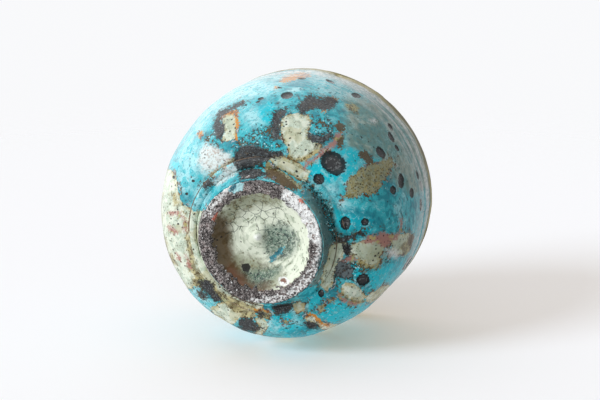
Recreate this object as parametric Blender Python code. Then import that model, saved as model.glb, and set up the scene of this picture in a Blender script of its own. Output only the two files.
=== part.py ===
"""Tea bowl: a thrown clay body on a luted foot ring, with every glaze coat as its own skin.

Metres, +Z up. The origin is the centre of the foot ring's resting face.
Every piece is a closed section in (radius, height), turned about Z, and leans a little with the belly.
"""
import math

import bmesh
import bpy
from mathutils import Vector

# The whole bowl
BOWL_HEIGHT = 0.084
RIM_RADIUS = 0.058
RIM_FLARE = 0.0008
FLARE_HEIGHT = 0.022
BELLY_FULLNESS = 2.85
WALL_THICKNESS = 0.0046
FLOOR_THICKNESS = 0.0055
TEA_POOL_RADIUS = 0.024
TEA_POOL_DIP = 0.0012

# Lean of the hand-thrown belly off the foot's axis, at half height, and its direction from +X
BELLY_LEAN = 0.0022
LEAN_DIRECTION = math.radians(-45.0)

# Foot ring of coarse clay
FOOT_RADIUS = 0.0261
FOOT_FACE_WIDTH = 0.0051
FOOT_EDGE = 0.0004
FOOT_HEIGHT = 0.0079
FOOT_FLARE = 0.0028
WELL_SLOPE = 0.0038
WELL_SHOULDER = 0.0012
UNDERSIDE_RISE = 0.0012

# Coil of clay pressed round the foot's root
COLLAR_WIDTH = 0.0044
COLLAR_CROWN = 0.0011

# Peak left by the trimming tool in the middle of the foot well
NIPPLE_RADIUS = 0.0024
NIPPLE_TIP_RADIUS = 0.0006
NIPPLE_HEIGHT = 0.0018
GLAZED_NIPPLE_RADIUS = 0.0012
GLAZED_NIPPLE_FOOT = 0.0006
GLAZED_NIPPLE_TIP = 0.0003

# Glaze coats
GLAZE_THICKNESS = 0.0007
POOL_THICKNESS = 0.0012
POOL_BANK_WIDTH = 0.0036
POOL_BANK_RISE = 0.0006
FOOT_BARE_HEIGHT = 0.0014
WELL_BARE_HEIGHT = 0.0016
LIP_BAND_HEIGHT = 0.0026
LIP_CROWN = 0.0018

# Gap between pieces that touch
SEAT_GAP = 0.0003

# Fineness of the turned shapes
TURNING_STEPS = 48
CURVE_STEPS = 13
LIP_STEPS = 6
COLLAR_STEPS = 6
MERGE_DISTANCE = 0.00001

# Colours and finish, as the photograph shows them
FINISHES = {
    "bowl_body": ((0.33, 0.27, 0.22), 0.85),
    "foot_ring": ((0.13, 0.11, 0.10), 0.80),
    "foot_collar": ((0.12, 0.33, 0.37), 0.25),
    "outer_glaze": ((0.10, 0.50, 0.56), 0.15),
    "foot_glaze": ((0.30, 0.42, 0.38), 0.25),
    "well_glaze": ((0.55, 0.58, 0.46), 0.15),
    "inner_glaze": ((0.16, 0.52, 0.56), 0.15),
    "lip_glaze": ((0.33, 0.28, 0.16), 0.30),
}

# Places that follow from the sizes above
FOOT_ROOT_RADIUS = FOOT_RADIUS + FOOT_FLARE
WELL_EDGE_RADIUS = FOOT_RADIUS - FOOT_FACE_WIDTH
WELL_TOP_RADIUS = WELL_EDGE_RADIUS - WELL_SLOPE
BODY_SEAT_HEIGHT = FOOT_HEIGHT + SEAT_GAP
UNDERSIDE_HEIGHT = FOOT_HEIGHT + UNDERSIDE_RISE
COLLAR_INNER_RADIUS = FOOT_ROOT_RADIUS + GLAZE_THICKNESS + 2 * SEAT_GAP
COLLAR_OUTER_RADIUS = COLLAR_INNER_RADIUS + COLLAR_WIDTH
WALL_RADIUS = RIM_RADIUS - RIM_FLARE
LIP_BAND_FOOT = BOWL_HEIGHT - LIP_BAND_HEIGHT
WALL_TOP = LIP_BAND_FOOT - SEAT_GAP
LIP_MIDDLE_RADIUS = RIM_RADIUS - WALL_THICKNESS / 2
COAT_DEPTH = GLAZE_THICKNESS + SEAT_GAP


def flared(radius, height):
    """Open the wall gently outwards just below the lip."""
    rise = max(0.0, 1.0 - (WALL_TOP - height) / FLARE_HEIGHT)
    return radius + RIM_FLARE * rise ** 2


def rounded_wall(root_radius, wall_radius, floor_height, start_radius):
    """Points of a full, round wall from near the floor, at start_radius, up to the lip."""
    power = 2.0 / BELLY_FULLNESS
    share = (start_radius - root_radius) / (wall_radius - root_radius)
    first_angle = math.acos(share ** (1.0 / power))
    points = []
    for step in range(CURVE_STEPS + 1):
        angle = first_angle * (1.0 - step / CURVE_STEPS)
        radius = root_radius + (wall_radius - root_radius) * math.cos(angle) ** power
        height = WALL_TOP - (WALL_TOP - floor_height) * math.sin(angle) ** power
        points.append((flared(radius, height), height))
    return points


def offset(points, distance):
    """Shift an open run of points square to itself, to the left of its direction for a positive distance."""
    shifted = []
    last = len(points) - 1
    for index, (radius, height) in enumerate(points):
        before = points[max(index - 1, 0)]
        after = points[min(index + 1, last)]
        along_radius = after[0] - before[0]
        along_height = after[1] - before[1]
        length = math.hypot(along_radius, along_height)
        shifted.append((radius - distance * along_height / length, height + distance * along_radius / length))
    return shifted


def lip_arc(inset):
    """Half round over the lip, from its inner to its outer side, set in from the visible face."""
    half_width = WALL_THICKNESS / 2 - inset
    crown = LIP_CROWN - inset
    points = []
    for step in range(LIP_STEPS + 1):
        angle = math.pi * (1.0 - step / LIP_STEPS)
        radius = LIP_MIDDLE_RADIUS + half_width * math.cos(angle)
        height = BOWL_HEIGHT - LIP_CROWN + crown * math.sin(angle)
        points.append((radius, height))
    return points


def outer_face():
    """Visible outside of the belly, from the collar up to the lip band."""
    start_radius = COLLAR_OUTER_RADIUS + 2 * SEAT_GAP
    return rounded_wall(COLLAR_INNER_RADIUS, WALL_RADIUS, UNDERSIDE_HEIGHT, start_radius)


def hollow_face():
    """Visible inside of the bowl, from the edge of the tea pool up to the lip band."""
    floor_height = UNDERSIDE_HEIGHT + FLOOR_THICKNESS
    return rounded_wall(TEA_POOL_RADIUS, WALL_RADIUS - WALL_THICKNESS, floor_height, TEA_POOL_RADIUS)


def pool_centre(face):
    """Lowest point of the tea pool, on the axis, below the edge where the face starts."""
    return (0.0, face[0][1] - TEA_POOL_DIP)


def foot_flank():
    """Outer side of the foot ring's clay, from its resting edge up to its root."""
    return [(FOOT_RADIUS, FOOT_EDGE), (FOOT_ROOT_RADIUS, FOOT_HEIGHT)]


def flank_radius(height):
    """Radius of the foot ring's clay at a height on its flank."""
    (low_radius, low), (high_radius, high) = foot_flank()
    return low_radius + (high_radius - low_radius) * (height - low) / (high - low)


def well_wall():
    """Inner side of the foot ring's clay, from its resting edge up to the bowl's underside."""
    return [
        (WELL_EDGE_RADIUS, FOOT_EDGE),
        (WELL_EDGE_RADIUS - WELL_SHOULDER, FOOT_HEIGHT / 2),
        (WELL_TOP_RADIUS, FOOT_HEIGHT),
    ]


def bowl_body_section():
    """Thrown clay: hollow, lip, belly, then the underside with its trimmed peak."""
    hollow = offset(hollow_face(), -COAT_DEPTH)
    belly = offset(outer_face(), COAT_DEPTH)
    shoulder_rise = belly[0][1] - BODY_SEAT_HEIGHT
    seat_radius = FOOT_ROOT_RADIUS + SEAT_GAP
    underside = [
        (seat_radius + shoulder_rise, belly[0][1]),
        (seat_radius, BODY_SEAT_HEIGHT),
        (NIPPLE_RADIUS, BODY_SEAT_HEIGHT),
        (NIPPLE_TIP_RADIUS, BODY_SEAT_HEIGHT - NIPPLE_HEIGHT),
        (0.0, BODY_SEAT_HEIGHT - NIPPLE_HEIGHT),
    ]
    return [pool_centre(hollow)] + hollow + lip_arc(COAT_DEPTH) + belly[::-1] + underside


def foot_ring_section():
    """Coarse clay ring: flat resting face, flared flank, sloping inner wall."""
    face = [(FOOT_RADIUS - FOOT_EDGE, 0.0), (WELL_EDGE_RADIUS + FOOT_EDGE, 0.0)]
    return foot_flank()[::-1] + face + well_wall()


def foot_collar_section():
    """Rounded coil in the corner between the foot's root and the belly."""
    top = offset(outer_face(), COAT_DEPTH)[0][1] - SEAT_GAP
    inner_lip = BODY_SEAT_HEIGHT + SEAT_GAP
    outer_lip = UNDERSIDE_HEIGHT
    corner = math.sqrt(2.0) * SEAT_GAP
    shoulder = COLLAR_INNER_RADIUS - FOOT_ROOT_RADIUS - SEAT_GAP - corner
    crown = []
    for step in range(COLLAR_STEPS + 1):
        share = step / COLLAR_STEPS
        radius = COLLAR_OUTER_RADIUS - COLLAR_WIDTH * share
        height = outer_lip + (inner_lip - outer_lip) * share - COLLAR_CROWN * math.sin(math.pi * share)
        crown.append((radius, height))
    inner_top = (COLLAR_INNER_RADIUS, BODY_SEAT_HEIGHT + shoulder)
    top_inner = (COLLAR_INNER_RADIUS + top - inner_top[1], top)
    return [top_inner, (COLLAR_OUTER_RADIUS, top)] + crown + [inner_top]


def outer_glaze_section():
    """Thick coat over the outside of the belly."""
    face = outer_face()
    return face[::-1] + offset(face, GLAZE_THICKNESS)


def foot_glaze_section():
    """Thin coat on the foot's flank, wiped off above the resting face."""
    top = FOOT_HEIGHT - SEAT_GAP
    line = [(flank_radius(FOOT_BARE_HEIGHT), FOOT_BARE_HEIGHT), (flank_radius(top), top)]
    back = offset(line, -SEAT_GAP)
    face = offset(line, -COAT_DEPTH)
    return [back[1], face[1], face[0], back[0]]


def well_glaze_section():
    """Pool of glaze that fills the foot well and runs up its wall."""
    edge, shoulder, top = well_wall()
    bare_share = (WELL_BARE_HEIGHT - edge[1]) / (shoulder[1] - edge[1])
    start = (edge[0] + (shoulder[0] - edge[0]) * bare_share, WELL_BARE_HEIGHT)
    wall = [start, shoulder, (top[0], top[1] - SEAT_GAP)]
    back_wall = offset(wall, SEAT_GAP)
    face_wall = offset(wall, COAT_DEPTH)
    ceiling = BODY_SEAT_HEIGHT - SEAT_GAP
    floor = ceiling - POOL_THICKNESS
    back_floor = [
        (WELL_TOP_RADIUS - COAT_DEPTH, ceiling),
        (NIPPLE_RADIUS + SEAT_GAP, ceiling),
        (NIPPLE_TIP_RADIUS + SEAT_GAP, ceiling - NIPPLE_HEIGHT),
        (0.0, ceiling - NIPPLE_HEIGHT),
    ]
    face_floor = [
        (WELL_TOP_RADIUS - POOL_THICKNESS, floor - POOL_BANK_RISE),
        (WELL_TOP_RADIUS - POOL_BANK_WIDTH, floor),
        (NIPPLE_RADIUS + POOL_THICKNESS, floor),
        (NIPPLE_RADIUS, floor - GLAZED_NIPPLE_FOOT),
        (GLAZED_NIPPLE_RADIUS, floor - NIPPLE_HEIGHT),
        (0.0, floor - NIPPLE_HEIGHT - GLAZED_NIPPLE_TIP),
    ]
    return back_floor[::-1] + back_wall[::-1] + face_wall[:2] + face_floor


def inner_glaze_section():
    """Coat over the whole hollow, down into the tea pool."""
    face = hollow_face()
    back = offset(face, -GLAZE_THICKNESS)
    return [pool_centre(face)] + face + back[::-1] + [pool_centre(back)]


def lip_glaze_section():
    """Thin band that wraps the lip, where the two coats run off it."""
    face = lip_arc(0.0)
    back = lip_arc(GLAZE_THICKNESS)
    inner_foot = [(back[0][0], LIP_BAND_FOOT), (face[0][0], LIP_BAND_FOOT)]
    outer_foot = [(face[-1][0], LIP_BAND_FOOT), (back[-1][0], LIP_BAND_FOOT)]
    return inner_foot + face + outer_foot + back[::-1]


def make_material(name):
    """Plain material in the piece's own colour."""
    colour, roughness = FINISHES[name]
    material = bpy.data.materials.new(name)
    material.use_nodes = True
    surface = material.node_tree.nodes["Principled BSDF"]
    surface.inputs["Base Color"].default_value = (*colour, 1.0)
    surface.inputs["Roughness"].default_value = roughness
    surface.inputs["Metallic"].default_value = 0.0
    return material


def leaning(place):
    """Carry a place sideways with the belly, and not at all at the foot or the top of the lip."""
    share = (place.z - UNDERSIDE_HEIGHT) / (BOWL_HEIGHT - UNDERSIDE_HEIGHT)
    shift = BELLY_LEAN * math.sin(math.pi * min(max(share, 0.0), 1.0))
    return place + shift * Vector((math.cos(LEAN_DIRECTION), math.sin(LEAN_DIRECTION), 0.0))


def turn(name, section):
    """Turn a section about Z into a closed piece; a section with both ends on the axis stays open there."""
    work = bmesh.new()
    corners = [work.verts.new((radius, 0.0, height)) for radius, height in section]
    sides = [work.edges.new(pair) for pair in zip(corners, corners[1:])]
    on_axis = section[0][0] == 0.0 and section[-1][0] == 0.0
    if not on_axis:
        sides.append(work.edges.new((corners[-1], corners[0])))
    bmesh.ops.spin(work, geom=corners + sides, cent=(0.0, 0.0, 0.0), axis=(0.0, 0.0, 1.0),
                   angle=2.0 * math.pi, steps=TURNING_STEPS, use_merge=True)
    bmesh.ops.remove_doubles(work, verts=work.verts[:], dist=MERGE_DISTANCE)
    bmesh.ops.recalc_face_normals(work, faces=work.faces[:])
    for vert in work.verts:
        vert.co = leaning(vert.co)
    mesh = bpy.data.meshes.new(name)
    work.to_mesh(mesh)
    work.free()
    mesh.shade_smooth()
    mesh.materials.append(make_material(name))
    piece = bpy.data.objects.new(name, mesh)
    bpy.context.scene.collection.objects.link(piece)


def build_bowl():
    """Make every piece of the bowl in its own place."""
    turn("bowl_body", bowl_body_section())
    turn("foot_ring", foot_ring_section())
    turn("foot_collar", foot_collar_section())
    turn("outer_glaze", outer_glaze_section())
    turn("foot_glaze", foot_glaze_section())
    turn("well_glaze", well_glaze_section())
    turn("inner_glaze", inner_glaze_section())
    turn("lip_glaze", lip_glaze_section())


for leftover in list(bpy.data.objects):
    bpy.data.objects.remove(leftover)

build_bowl()
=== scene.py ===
"""Looks of the tea bowl: uneven glaze skins over the turned frame, and the photograph's camera and light.

Metres, in the frame's own axes. Places on the glaze are read from the photograph, in pixels of
its 600 x 400 frame, and are carried onto the surface through the camera.
"""
import copy
import math

import bmesh
import bpy
import numpy as np
from mathutils import Color, Matrix, Vector


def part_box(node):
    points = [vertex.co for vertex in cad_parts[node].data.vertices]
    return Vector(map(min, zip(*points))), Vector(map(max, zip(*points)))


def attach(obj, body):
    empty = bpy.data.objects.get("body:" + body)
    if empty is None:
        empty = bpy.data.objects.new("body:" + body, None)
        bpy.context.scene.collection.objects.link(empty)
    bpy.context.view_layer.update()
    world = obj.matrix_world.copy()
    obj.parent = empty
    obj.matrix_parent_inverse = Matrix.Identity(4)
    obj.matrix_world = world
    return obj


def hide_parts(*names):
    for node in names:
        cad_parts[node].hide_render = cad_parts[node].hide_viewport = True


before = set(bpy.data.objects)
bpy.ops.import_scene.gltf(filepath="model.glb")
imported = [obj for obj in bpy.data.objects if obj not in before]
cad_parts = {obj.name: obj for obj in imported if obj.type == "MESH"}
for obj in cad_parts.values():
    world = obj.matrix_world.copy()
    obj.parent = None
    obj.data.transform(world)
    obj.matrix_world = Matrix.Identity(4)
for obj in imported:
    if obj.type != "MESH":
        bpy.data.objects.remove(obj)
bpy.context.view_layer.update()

MM = 0.001
FULL_TURN = 2.0 * math.pi

# The photograph: where the foot's centre lies in it and how the bowl is turned towards the camera
PHOTO_WIDTH = 600
PHOTO_HEIGHT = 400
FOOT_PIXEL = (259.6, 243.3)
CAMERA_DISTANCE = 0.500
PIXELS_PER_METRE = 2470.0
AXIS_TILT = math.radians(20.9)
AXIS_DIRECTION = math.radians(133.5)
LYING_SLOPE = math.radians(2.6)
SENSOR_WIDTH_MM = 36.0
CAMERA_CLIP = (0.01, 50.0)
FOCAL_PIXELS = PIXELS_PER_METRE * CAMERA_DISTANCE

# The camera's own right, up and back, in the photograph's right, down and forward
CAMERA_AXES = ((1, 0, 0), (0, -1, 0), (0, 0, -1))

# Horizontal directions of the standing bowl that are up and right in the photograph
PHOTO_UP_ON_BOWL = Vector((1.0, -1.0, 0.0)).normalized()
PHOTO_RIGHT_ON_BOWL = Vector((1.0, 1.0, 0.0)).normalized()

# Sizes taken from the frame
BOWL_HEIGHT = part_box("lip_glaze")[1][2]
WALL_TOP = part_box("outer_glaze")[1][2]
UNDERSIDE_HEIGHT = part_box("outer_glaze")[0][2]
FOOT_ROOT_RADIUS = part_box("foot_ring")[1][0]
FOOT_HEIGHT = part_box("foot_ring")[1][2]
COLLAR_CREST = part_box("foot_collar")[0][2]

# Sizes of the turned form that a box does not show
RIM_RADIUS = 58.0 * MM
COLLAR_WIDTH = 4.4 * MM
FOOT_RADIUS = 26.1 * MM
FOOT_FACE_WIDTH = 5.1 * MM
RIM_FLARE = 0.8 * MM
FLARE_HEIGHT = 22.0 * MM
BELLY_FULLNESS = 2.85
BELLY_LEAN = 2.2 * MM
WALL_THICKNESS = 4.6 * MM
FLOOR_THICKNESS = 5.5 * MM
TEA_POOL_RADIUS = 24.0 * MM
TEA_POOL_DIP = 1.2 * MM
GLAZE_THICKNESS = 0.7 * MM
SEAT_GAP = 0.3 * MM
LIP_CROWN = 1.8 * MM
COLLAR_INNER_RADIUS = FOOT_ROOT_RADIUS + GLAZE_THICKNESS + 2 * SEAT_GAP
COLLAR_OUTER_RADIUS = COLLAR_INNER_RADIUS + COLLAR_WIDTH
WELL_EDGE_RADIUS = FOOT_RADIUS - FOOT_FACE_WIDTH

# Small joints and edges of the dressed skins
COLLAR_TUCK = 0.8 * MM
COLLAR_DEPTH = 0.9 * MM
COLLAR_ROUNDNESS = 0.8
LIP_TUCK = 0.4 * MM
ROOT_GROOVE = 0.5 * MM
FLANK_LOW_COAT = 0.3 * MM
FLANK_LOW_EDGE = 0.8 * MM
FLANK_HOLLOW = 0.3 * MM
FOOT_EDGE_ROUND = 0.5 * MM
RING_WALL_SLOPE = 3.0 * MM
RING_WALL_PART = 3
WELL_EDGE_COAT = 0.2 * MM
WELL_EDGE_HEIGHT = 1.0 * MM
WELL_FLOOR = 6.6 * MM
WELL_DISH_POWER = 3.2
PEAK_PLACE = PHOTO_RIGHT_ON_BOWL * -1.9 * MM + PHOTO_UP_ON_BOWL * 1.6 * MM
PEAK_RADIUS = 3.5 * MM
PEAK_HEIGHT = 4.4 * MM
PEAK_POINTEDNESS = 1.25
WELL_RING_PITCH = 2.3 * MM
WELL_RING_DEPTH = 0.06 * MM
COLLAR_HIGH_SIDE = (-0.7, 0.7)
COLLAR_SWELL = 1.0 * MM
COLLAR_EVEN_SHARE = 0.4
ROOT_FILL = 0.8 * MM
ROOT_FILL_REACH = 0.35
COLLAR_GROOVE = 0.7 * MM
COLLAR_GROOVE_LEFT = 0.62
COLLAR_GROOVE_TOP = 0.90
COLLAR_GROOVE_WIDTH = 0.12

# Relief of the fired coat: a patch's height, and where it begins and is full, in millimetres inside its edge
PATCH_RELIEF = {
    "cream": (-0.14 * MM, -0.3, 0.7),
    "iron": (-0.16 * MM, -0.3, 0.8),
    "vivid": (0.12 * MM, -1.0, 1.0),
}

# Craters of the ringed spots, with their edge and lip in parts of a spot's radius
CRATER_DEPTH = -0.30 * MM
CRATER_EDGE = (-1.0, -0.5)
CRATER_LIP = 0.10 * MM
CRATER_LIP_PLACE = 1.15
CRATER_LIP_WIDTH = 0.22

# Faint throwing marks on the upper part of the wall
THROWING_PITCH = 3.4 * MM
THROWING_DEPTH = 0.03 * MM
THROWING_SWAY = 2.0
THROWING_SWAY_WAVE = (60.0 * MM, 5)
THROWN_PART = (0.35 * BOWL_HEIGHT, 0.6 * BOWL_HEIGHT)

# Unevenness of the skins: wavelength and height in millimetres, and the seed of its chance waves
COAT_UNEVENNESS = ((34.0, 0.28, 6), (9.0, 0.10, 3), (3.2, 0.05, 4))
LIP_UNEVENNESS = ((7.0, 0.06, 8),)
RING_UNEVENNESS = ((11.0, 0.20, 12), (2.6, 0.16, 14), (1.6, 0.12, 9), (1.0, 0.09, 10))
RING_EDGE_WEAR = ((9.0, 0.75, 13), (3.5, 0.45, 15))
RING_WEAR = 0.15 * MM
LEAST_SLANT = 0.05
WELL_UNEVENNESS = ((8.0, 0.12, 11),)
PATCH_UNEVENNESS = ((7.0, 1.30, 21), (3.0, 0.65, 22))

# How many chance waves add up to an unevenness, and how far their lengths differ
CHANCE_WAVES = 14
CHANCE_WAVE_SPREAD = (0.7, 1.4)

# Light of the photograph, with directions as it shows them: right, up and towards the camera
KEY_DIRECTION = (-0.80, 0.37, 0.53)
KEY_LEVEL = 0.64
KEY_SPREAD = math.radians(22.0)
WINDOW_GLEAM = 0.9
WINDOW_EDGE = (0.70, 0.96)
BACK_WINDOW_DIRECTION = (-0.48, 0.62, -0.62)
BACK_WINDOW_GLEAM = 1.2
BACK_WINDOW_EDGE = (0.66, 0.96)

# Brightness of the white room on its six sides, as light and as a gleam
ROOM_LIGHT = {"left": 0.82, "right": 0.10, "ceiling": 0.97, "table": 1.60, "front": 0.32, "behind": 0.60}
ROOM_GLEAM = {"left": 1.50, "right": 0.25, "ceiling": 1.30, "table": 0.18, "front": 0.20, "behind": 0.40}
WHITE = (1.0, 1.0, 1.0, 1.0)
BACKDROP_COLOUR = (0.945, 0.95, 0.965, 1.0)

# Weak light into the standing bowl, with its direction in the bowl's own axes
OVERHEAD_DIRECTION = (-0.25, 0.30, 0.92)
OVERHEAD_LEVEL = 0.42
OVERHEAD_SPREAD = math.radians(55.0)

# Table of the photograph and floor under the standing bowl, each with the slants between which it comes in
TABLE_TONE = (0.70, 0.81, 0.95, 1.0)
TABLE_GLOW = (0.245, 0.135, 0.015, 1.0)
TABLE_RADIUS = 0.75
TABLE_SLANT = (0.52, 0.60)
FLOOR_TONE = (0.62, 0.61, 0.60, 1.0)
FLOOR_GLOW = (0.36, 0.36, 0.365, 1.0)
FLOOR_RADIUS = 1.2
FLOOR_SLANT = (-0.2, -0.1)
SLANT_BLEND = 0.5
STAGE_PLAIN_SHARE = 0.35
STAGE_STEPS = 64

# Finish of the coats and the clay
GLAZE_ROUGHNESS = 0.26
GLAZE_IOR = 1.42
IRON_ROUGHNESS = 0.45
WELL_ROUGHNESS = 0.22
CLAY_ROUGHNESS = 0.42
BODY_ROUGHNESS = 0.85
GLAZE_GRAIN_DEPTH = 0.15 * MM
WELL_GRAIN_DEPTH = 0.12 * MM
CLAY_GRAIN_DEPTH = 0.40 * MM
LIP_GRAIN_DEPTH = 0.05 * MM
GRIT_HEIGHT = (0.05, 0.9)
CLOUD_HEIGHT = 0.6

# Milky streaks and the thin olive coat below the lip
LIP_LINE_LOW = 7.5 * MM
LIP_LINE_HIGH = 2.0 * MM
LIP_MILK_HEIGHT = 40.0 * MM
LIP_WOBBLE = 1.4 * MM

# Lines and specks round the patches, in millimetres
LINE_WIDTH = 0.4
MILKY_LINE_AWAY = 0.8
DARK_LINE_AWAY = 0.4
YELLOW_EDGE = 0.7
SPECK_REACH = 4.5
BLOT_REACH = 1.6
# Milky tip of the well's peak: the coat thins there, and it also stands as a painted highlight
PEAK_MILK_AND_HIGHLIGHT = (2.4, 0.4)
RUSTY_RIM = (0.7, 0.2)

# Ringed spots, in parts of their radius: where each band begins and where it is full
SPOT_FRAY = 0.14
SPOT_HALO_OUTSIDE = (1.7, 1.3)
SPOT_HALO_INSIDE = (1.05, 1.2)
SPOT_RING = (1.12, 1.0)
SPOT_MIDDLE = (0.80, 0.55)
WELL_SPOT_WOBBLE = 0.5
WELL_SPOT_HALO = (1.6, 1.0)
WELL_SPOT_MIDDLE = (0.8, 0.6)

# Fineness of the dressed skins
BELLY_STEPS_AROUND = 512
BELLY_ROWS = 180
SMALL_STEPS_AROUND = 420
RING_STEPS_AROUND = 640
BACK_ROWS = 10
WALL_POINTS = 240
WALL_CROWDING = 1.5
EDGE_POINTS = 8
HOLLOW_ROWS = 150
LIP_ROWS = 40
COLLAR_ROWS = 44
FLANK_ROWS = 46
RING_ROWS = 72
WELL_ROWS = 120
BODY_ROWS = 40
BODY_STEPS_AROUND = 96
SHARP_EDGE = math.radians(50.0)
POLE_RADIUS = 0.001 * MM

# Places read on the photograph, in its pixels: outlines of each kind of glaze
CREAM_OUTLINES = {
    "top_patch": [
        (280, 122), (283, 116), (290, 114), (299, 113), (308, 116), (312, 121), (309, 130), (308, 137),
        (314, 142), (321, 145), (318, 152), (311, 157), (304, 159), (296, 161), (289, 157), (288, 150),
        (284, 141), (281, 131),
    ],
    # Cream on the collar's crest, partly a painted highlight where the crest faces the light
    "collar_cream_and_highlight": [
        (266, 157), (278, 155), (289, 159), (300, 164), (309, 171), (306, 182), (297, 179), (286, 172),
        (275, 165),
    ],
    "pale_green_eye": [
        (222, 120), (226, 114), (233, 113), (236, 118), (236, 128), (235, 138), (230, 141), (222, 141),
        (220, 137), (224, 131), (223, 124),
    ],
    "right_strip": [
        (331, 246), (337, 243), (347, 243), (347, 250), (342, 258), (338, 266), (335, 275), (332, 286),
        (326, 290), (321, 286), (321, 278), (324, 268), (328, 258),
    ],
    "right_body": [
        (350, 245), (364, 241), (372, 238), (381, 241), (388, 244), (383, 249), (381, 257), (379, 264),
        (371, 268), (362, 263), (356, 258), (349, 256),
    ],
    "right_end": [
        (388, 241), (396, 236), (405, 233), (413, 234), (411, 244), (408, 250), (402, 254), (396, 255),
        (391, 252), (392, 246),
    ],
    "low_right_patch": [
        (341, 285), (346, 282), (353, 283), (358, 286), (362, 291), (366, 297), (362, 301), (355, 302),
        (347, 298), (341, 293),
    ],
    "low_right_strip": [
        (364, 297), (372, 293), (380, 288), (388, 285), (392, 286), (384, 294), (376, 300), (368, 303),
    ],
    "low_flake": [(292, 304), (300, 302), (306, 304), (304, 310), (297, 313), (293, 308)],
    "low_tongue": [
        (304, 317), (312, 314), (317, 317), (321, 322), (330, 324), (338, 325), (330, 330), (322, 329),
        (316, 323), (307, 322),
    ],
    "bottom_run": [
        (254, 317), (264, 318), (268, 326), (262, 334), (270, 340), (290, 342), (300, 346), (268, 346),
        (255, 336), (258, 326),
    ],
    "low_left_run": [
        (211, 309), (218, 303), (228, 302), (240, 306), (252, 309), (256, 316), (250, 319), (241, 317),
        (236, 322), (228, 328), (216, 316),
    ],
    "left_field": [
        (155, 190), (160, 176), (167, 169), (174, 173), (177, 188), (182, 204), (190, 209), (197, 213),
        (199, 230), (199, 246), (203, 262), (212, 276), (205, 279), (199, 279), (198, 285), (190, 288),
        (182, 286), (168, 268), (156, 236),
    ],
    "left_flank": [
        (190, 212), (206, 211), (208, 240), (212, 260), (221, 276), (236, 290), (252, 299), (264, 302),
        (262, 312), (244, 309), (226, 300), (210, 288), (198, 272), (190, 250),
    ],
}
OLIVE_OUTLINES = {
    "right_shoulder": [
        (341, 200), (346, 192), (346, 184), (350, 176), (356, 173), (361, 167), (366, 167), (370, 162),
        (377, 163), (383, 160), (390, 157), (395, 159), (395, 166), (390, 171), (387, 178), (383, 181),
        (383, 187), (376, 191), (371, 195), (363, 193), (357, 197), (350, 197),
    ],
    # Olive-grey painted shade on the well's upper wall
    "well_top_wall_shade": [
        (222, 212), (234, 198), (250, 191), (266, 190), (284, 197), (276, 205), (254, 206), (242, 212),
        (232, 222), (224, 222),
    ],
    # Olive-grey painted shade low in the well
    "well_low_floor_shade": [
        (229, 258), (238, 252), (246, 256), (258, 258), (266, 264), (278, 268), (286, 274), (282, 284),
        (270, 292), (254, 292), (240, 284), (232, 272),
    ],
    "low_fleck_a": [(317, 305), (324, 304), (325, 310), (319, 313)],
    "low_fleck_b": [(327, 298), (335, 298), (335, 303), (328, 303)],
    "low_fleck_c": [(282, 318), (290, 319), (288, 325), (283, 324)],
    "eye_of_iron": [(256, 309), (266, 308), (271, 314), (268, 320), (258, 318)],
    # Olive line at the foot's root: olive glaze, darkened as painted shade in the groove
    "root_line_top": [
        (208, 176), (216, 168), (226, 161), (236, 157), (237, 160), (228, 165), (218, 172), (211, 180),
    ],
    "collar_shade": [
        (268, 160), (280, 168), (292, 177), (301, 184), (302, 192), (292, 188), (280, 184), (268, 178),
        (262, 172),
    ],
}
IRON_OUTLINES = {
    "shoulder_line": [
        (338, 240), (345, 236), (355, 234), (364, 231), (363, 235), (354, 238), (345, 241), (339, 243),
    ],
    "top_cloud": [
        (298, 107), (303, 100), (310, 96), (318, 98), (326, 99), (333, 98), (339, 101), (336, 106),
        (330, 110), (322, 111), (316, 107), (310, 110), (305, 113), (300, 111),
    ],
    "left_crescent": [
        (216, 117), (220, 111), (228, 108), (236, 103), (243, 101), (244, 104), (238, 107), (233, 110),
        (226, 112), (221, 115), (219, 120), (222, 124), (224, 131), (222, 139), (217, 139), (214, 132),
        (213, 126), (215, 121),
    ],
    "under_patch": [
        (308, 133), (313, 137), (322, 137), (330, 134), (333, 137), (325, 142), (314, 142), (308, 138),
    ],
    "patch_edge": [
        (272, 120), (274, 113), (280, 109), (287, 108), (286, 113), (281, 118), (279, 126), (279, 138),
        (274, 139), (271, 130),
    ],
    "collar_cloud": [
        (234, 160), (236, 152), (240, 147), (247, 145), (254, 146), (262, 149), (272, 151), (284, 151),
        (282, 156), (270, 158), (263, 163), (250, 167), (240, 168), (235, 165),
    ],
    "collar_tail": [(240, 172), (252, 168), (262, 170), (268, 174), (256, 178), (240, 180)],
    "right_bar": [(344, 245), (349, 243), (351, 250), (348, 256), (344, 252)],
    "blue_cloud": [
        (334, 270), (338, 263), (345, 262), (351, 264), (354, 270), (350, 277), (345, 280), (339, 276),
        (334, 277),
    ],
    "low_left_bar": [
        (199, 281), (205, 279), (212, 284), (216, 292), (221, 299), (218, 303), (211, 298), (205, 291),
    ],
    "low_left_speck": [(199, 292), (202, 292), (207, 298), (204, 299)],
    "bottom_bar": [(239, 320), (247, 318), (255, 323), (262, 329), (256, 330), (246, 331), (239, 326)],
    "strip_edge": [(378, 301), (386, 295), (393, 288), (396, 289), (388, 298), (380, 304)],
    "tongue_base": [(305, 323), (310, 322), (319, 325), (317, 329), (308, 328)],
    "root_bar": [(272, 306), (282, 304), (292, 303), (291, 309), (284, 314), (276, 313)],
    "iron_eye": [(258, 312), (263, 312), (266, 315), (263, 317), (259, 316)],
    "well_square": [(241, 264), (250, 263), (251, 268), (248, 272), (242, 271)],
    "ridge_knot": [(203, 183), (207, 180), (212, 178), (211, 184), (206, 189), (203, 187)],
}
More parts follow.
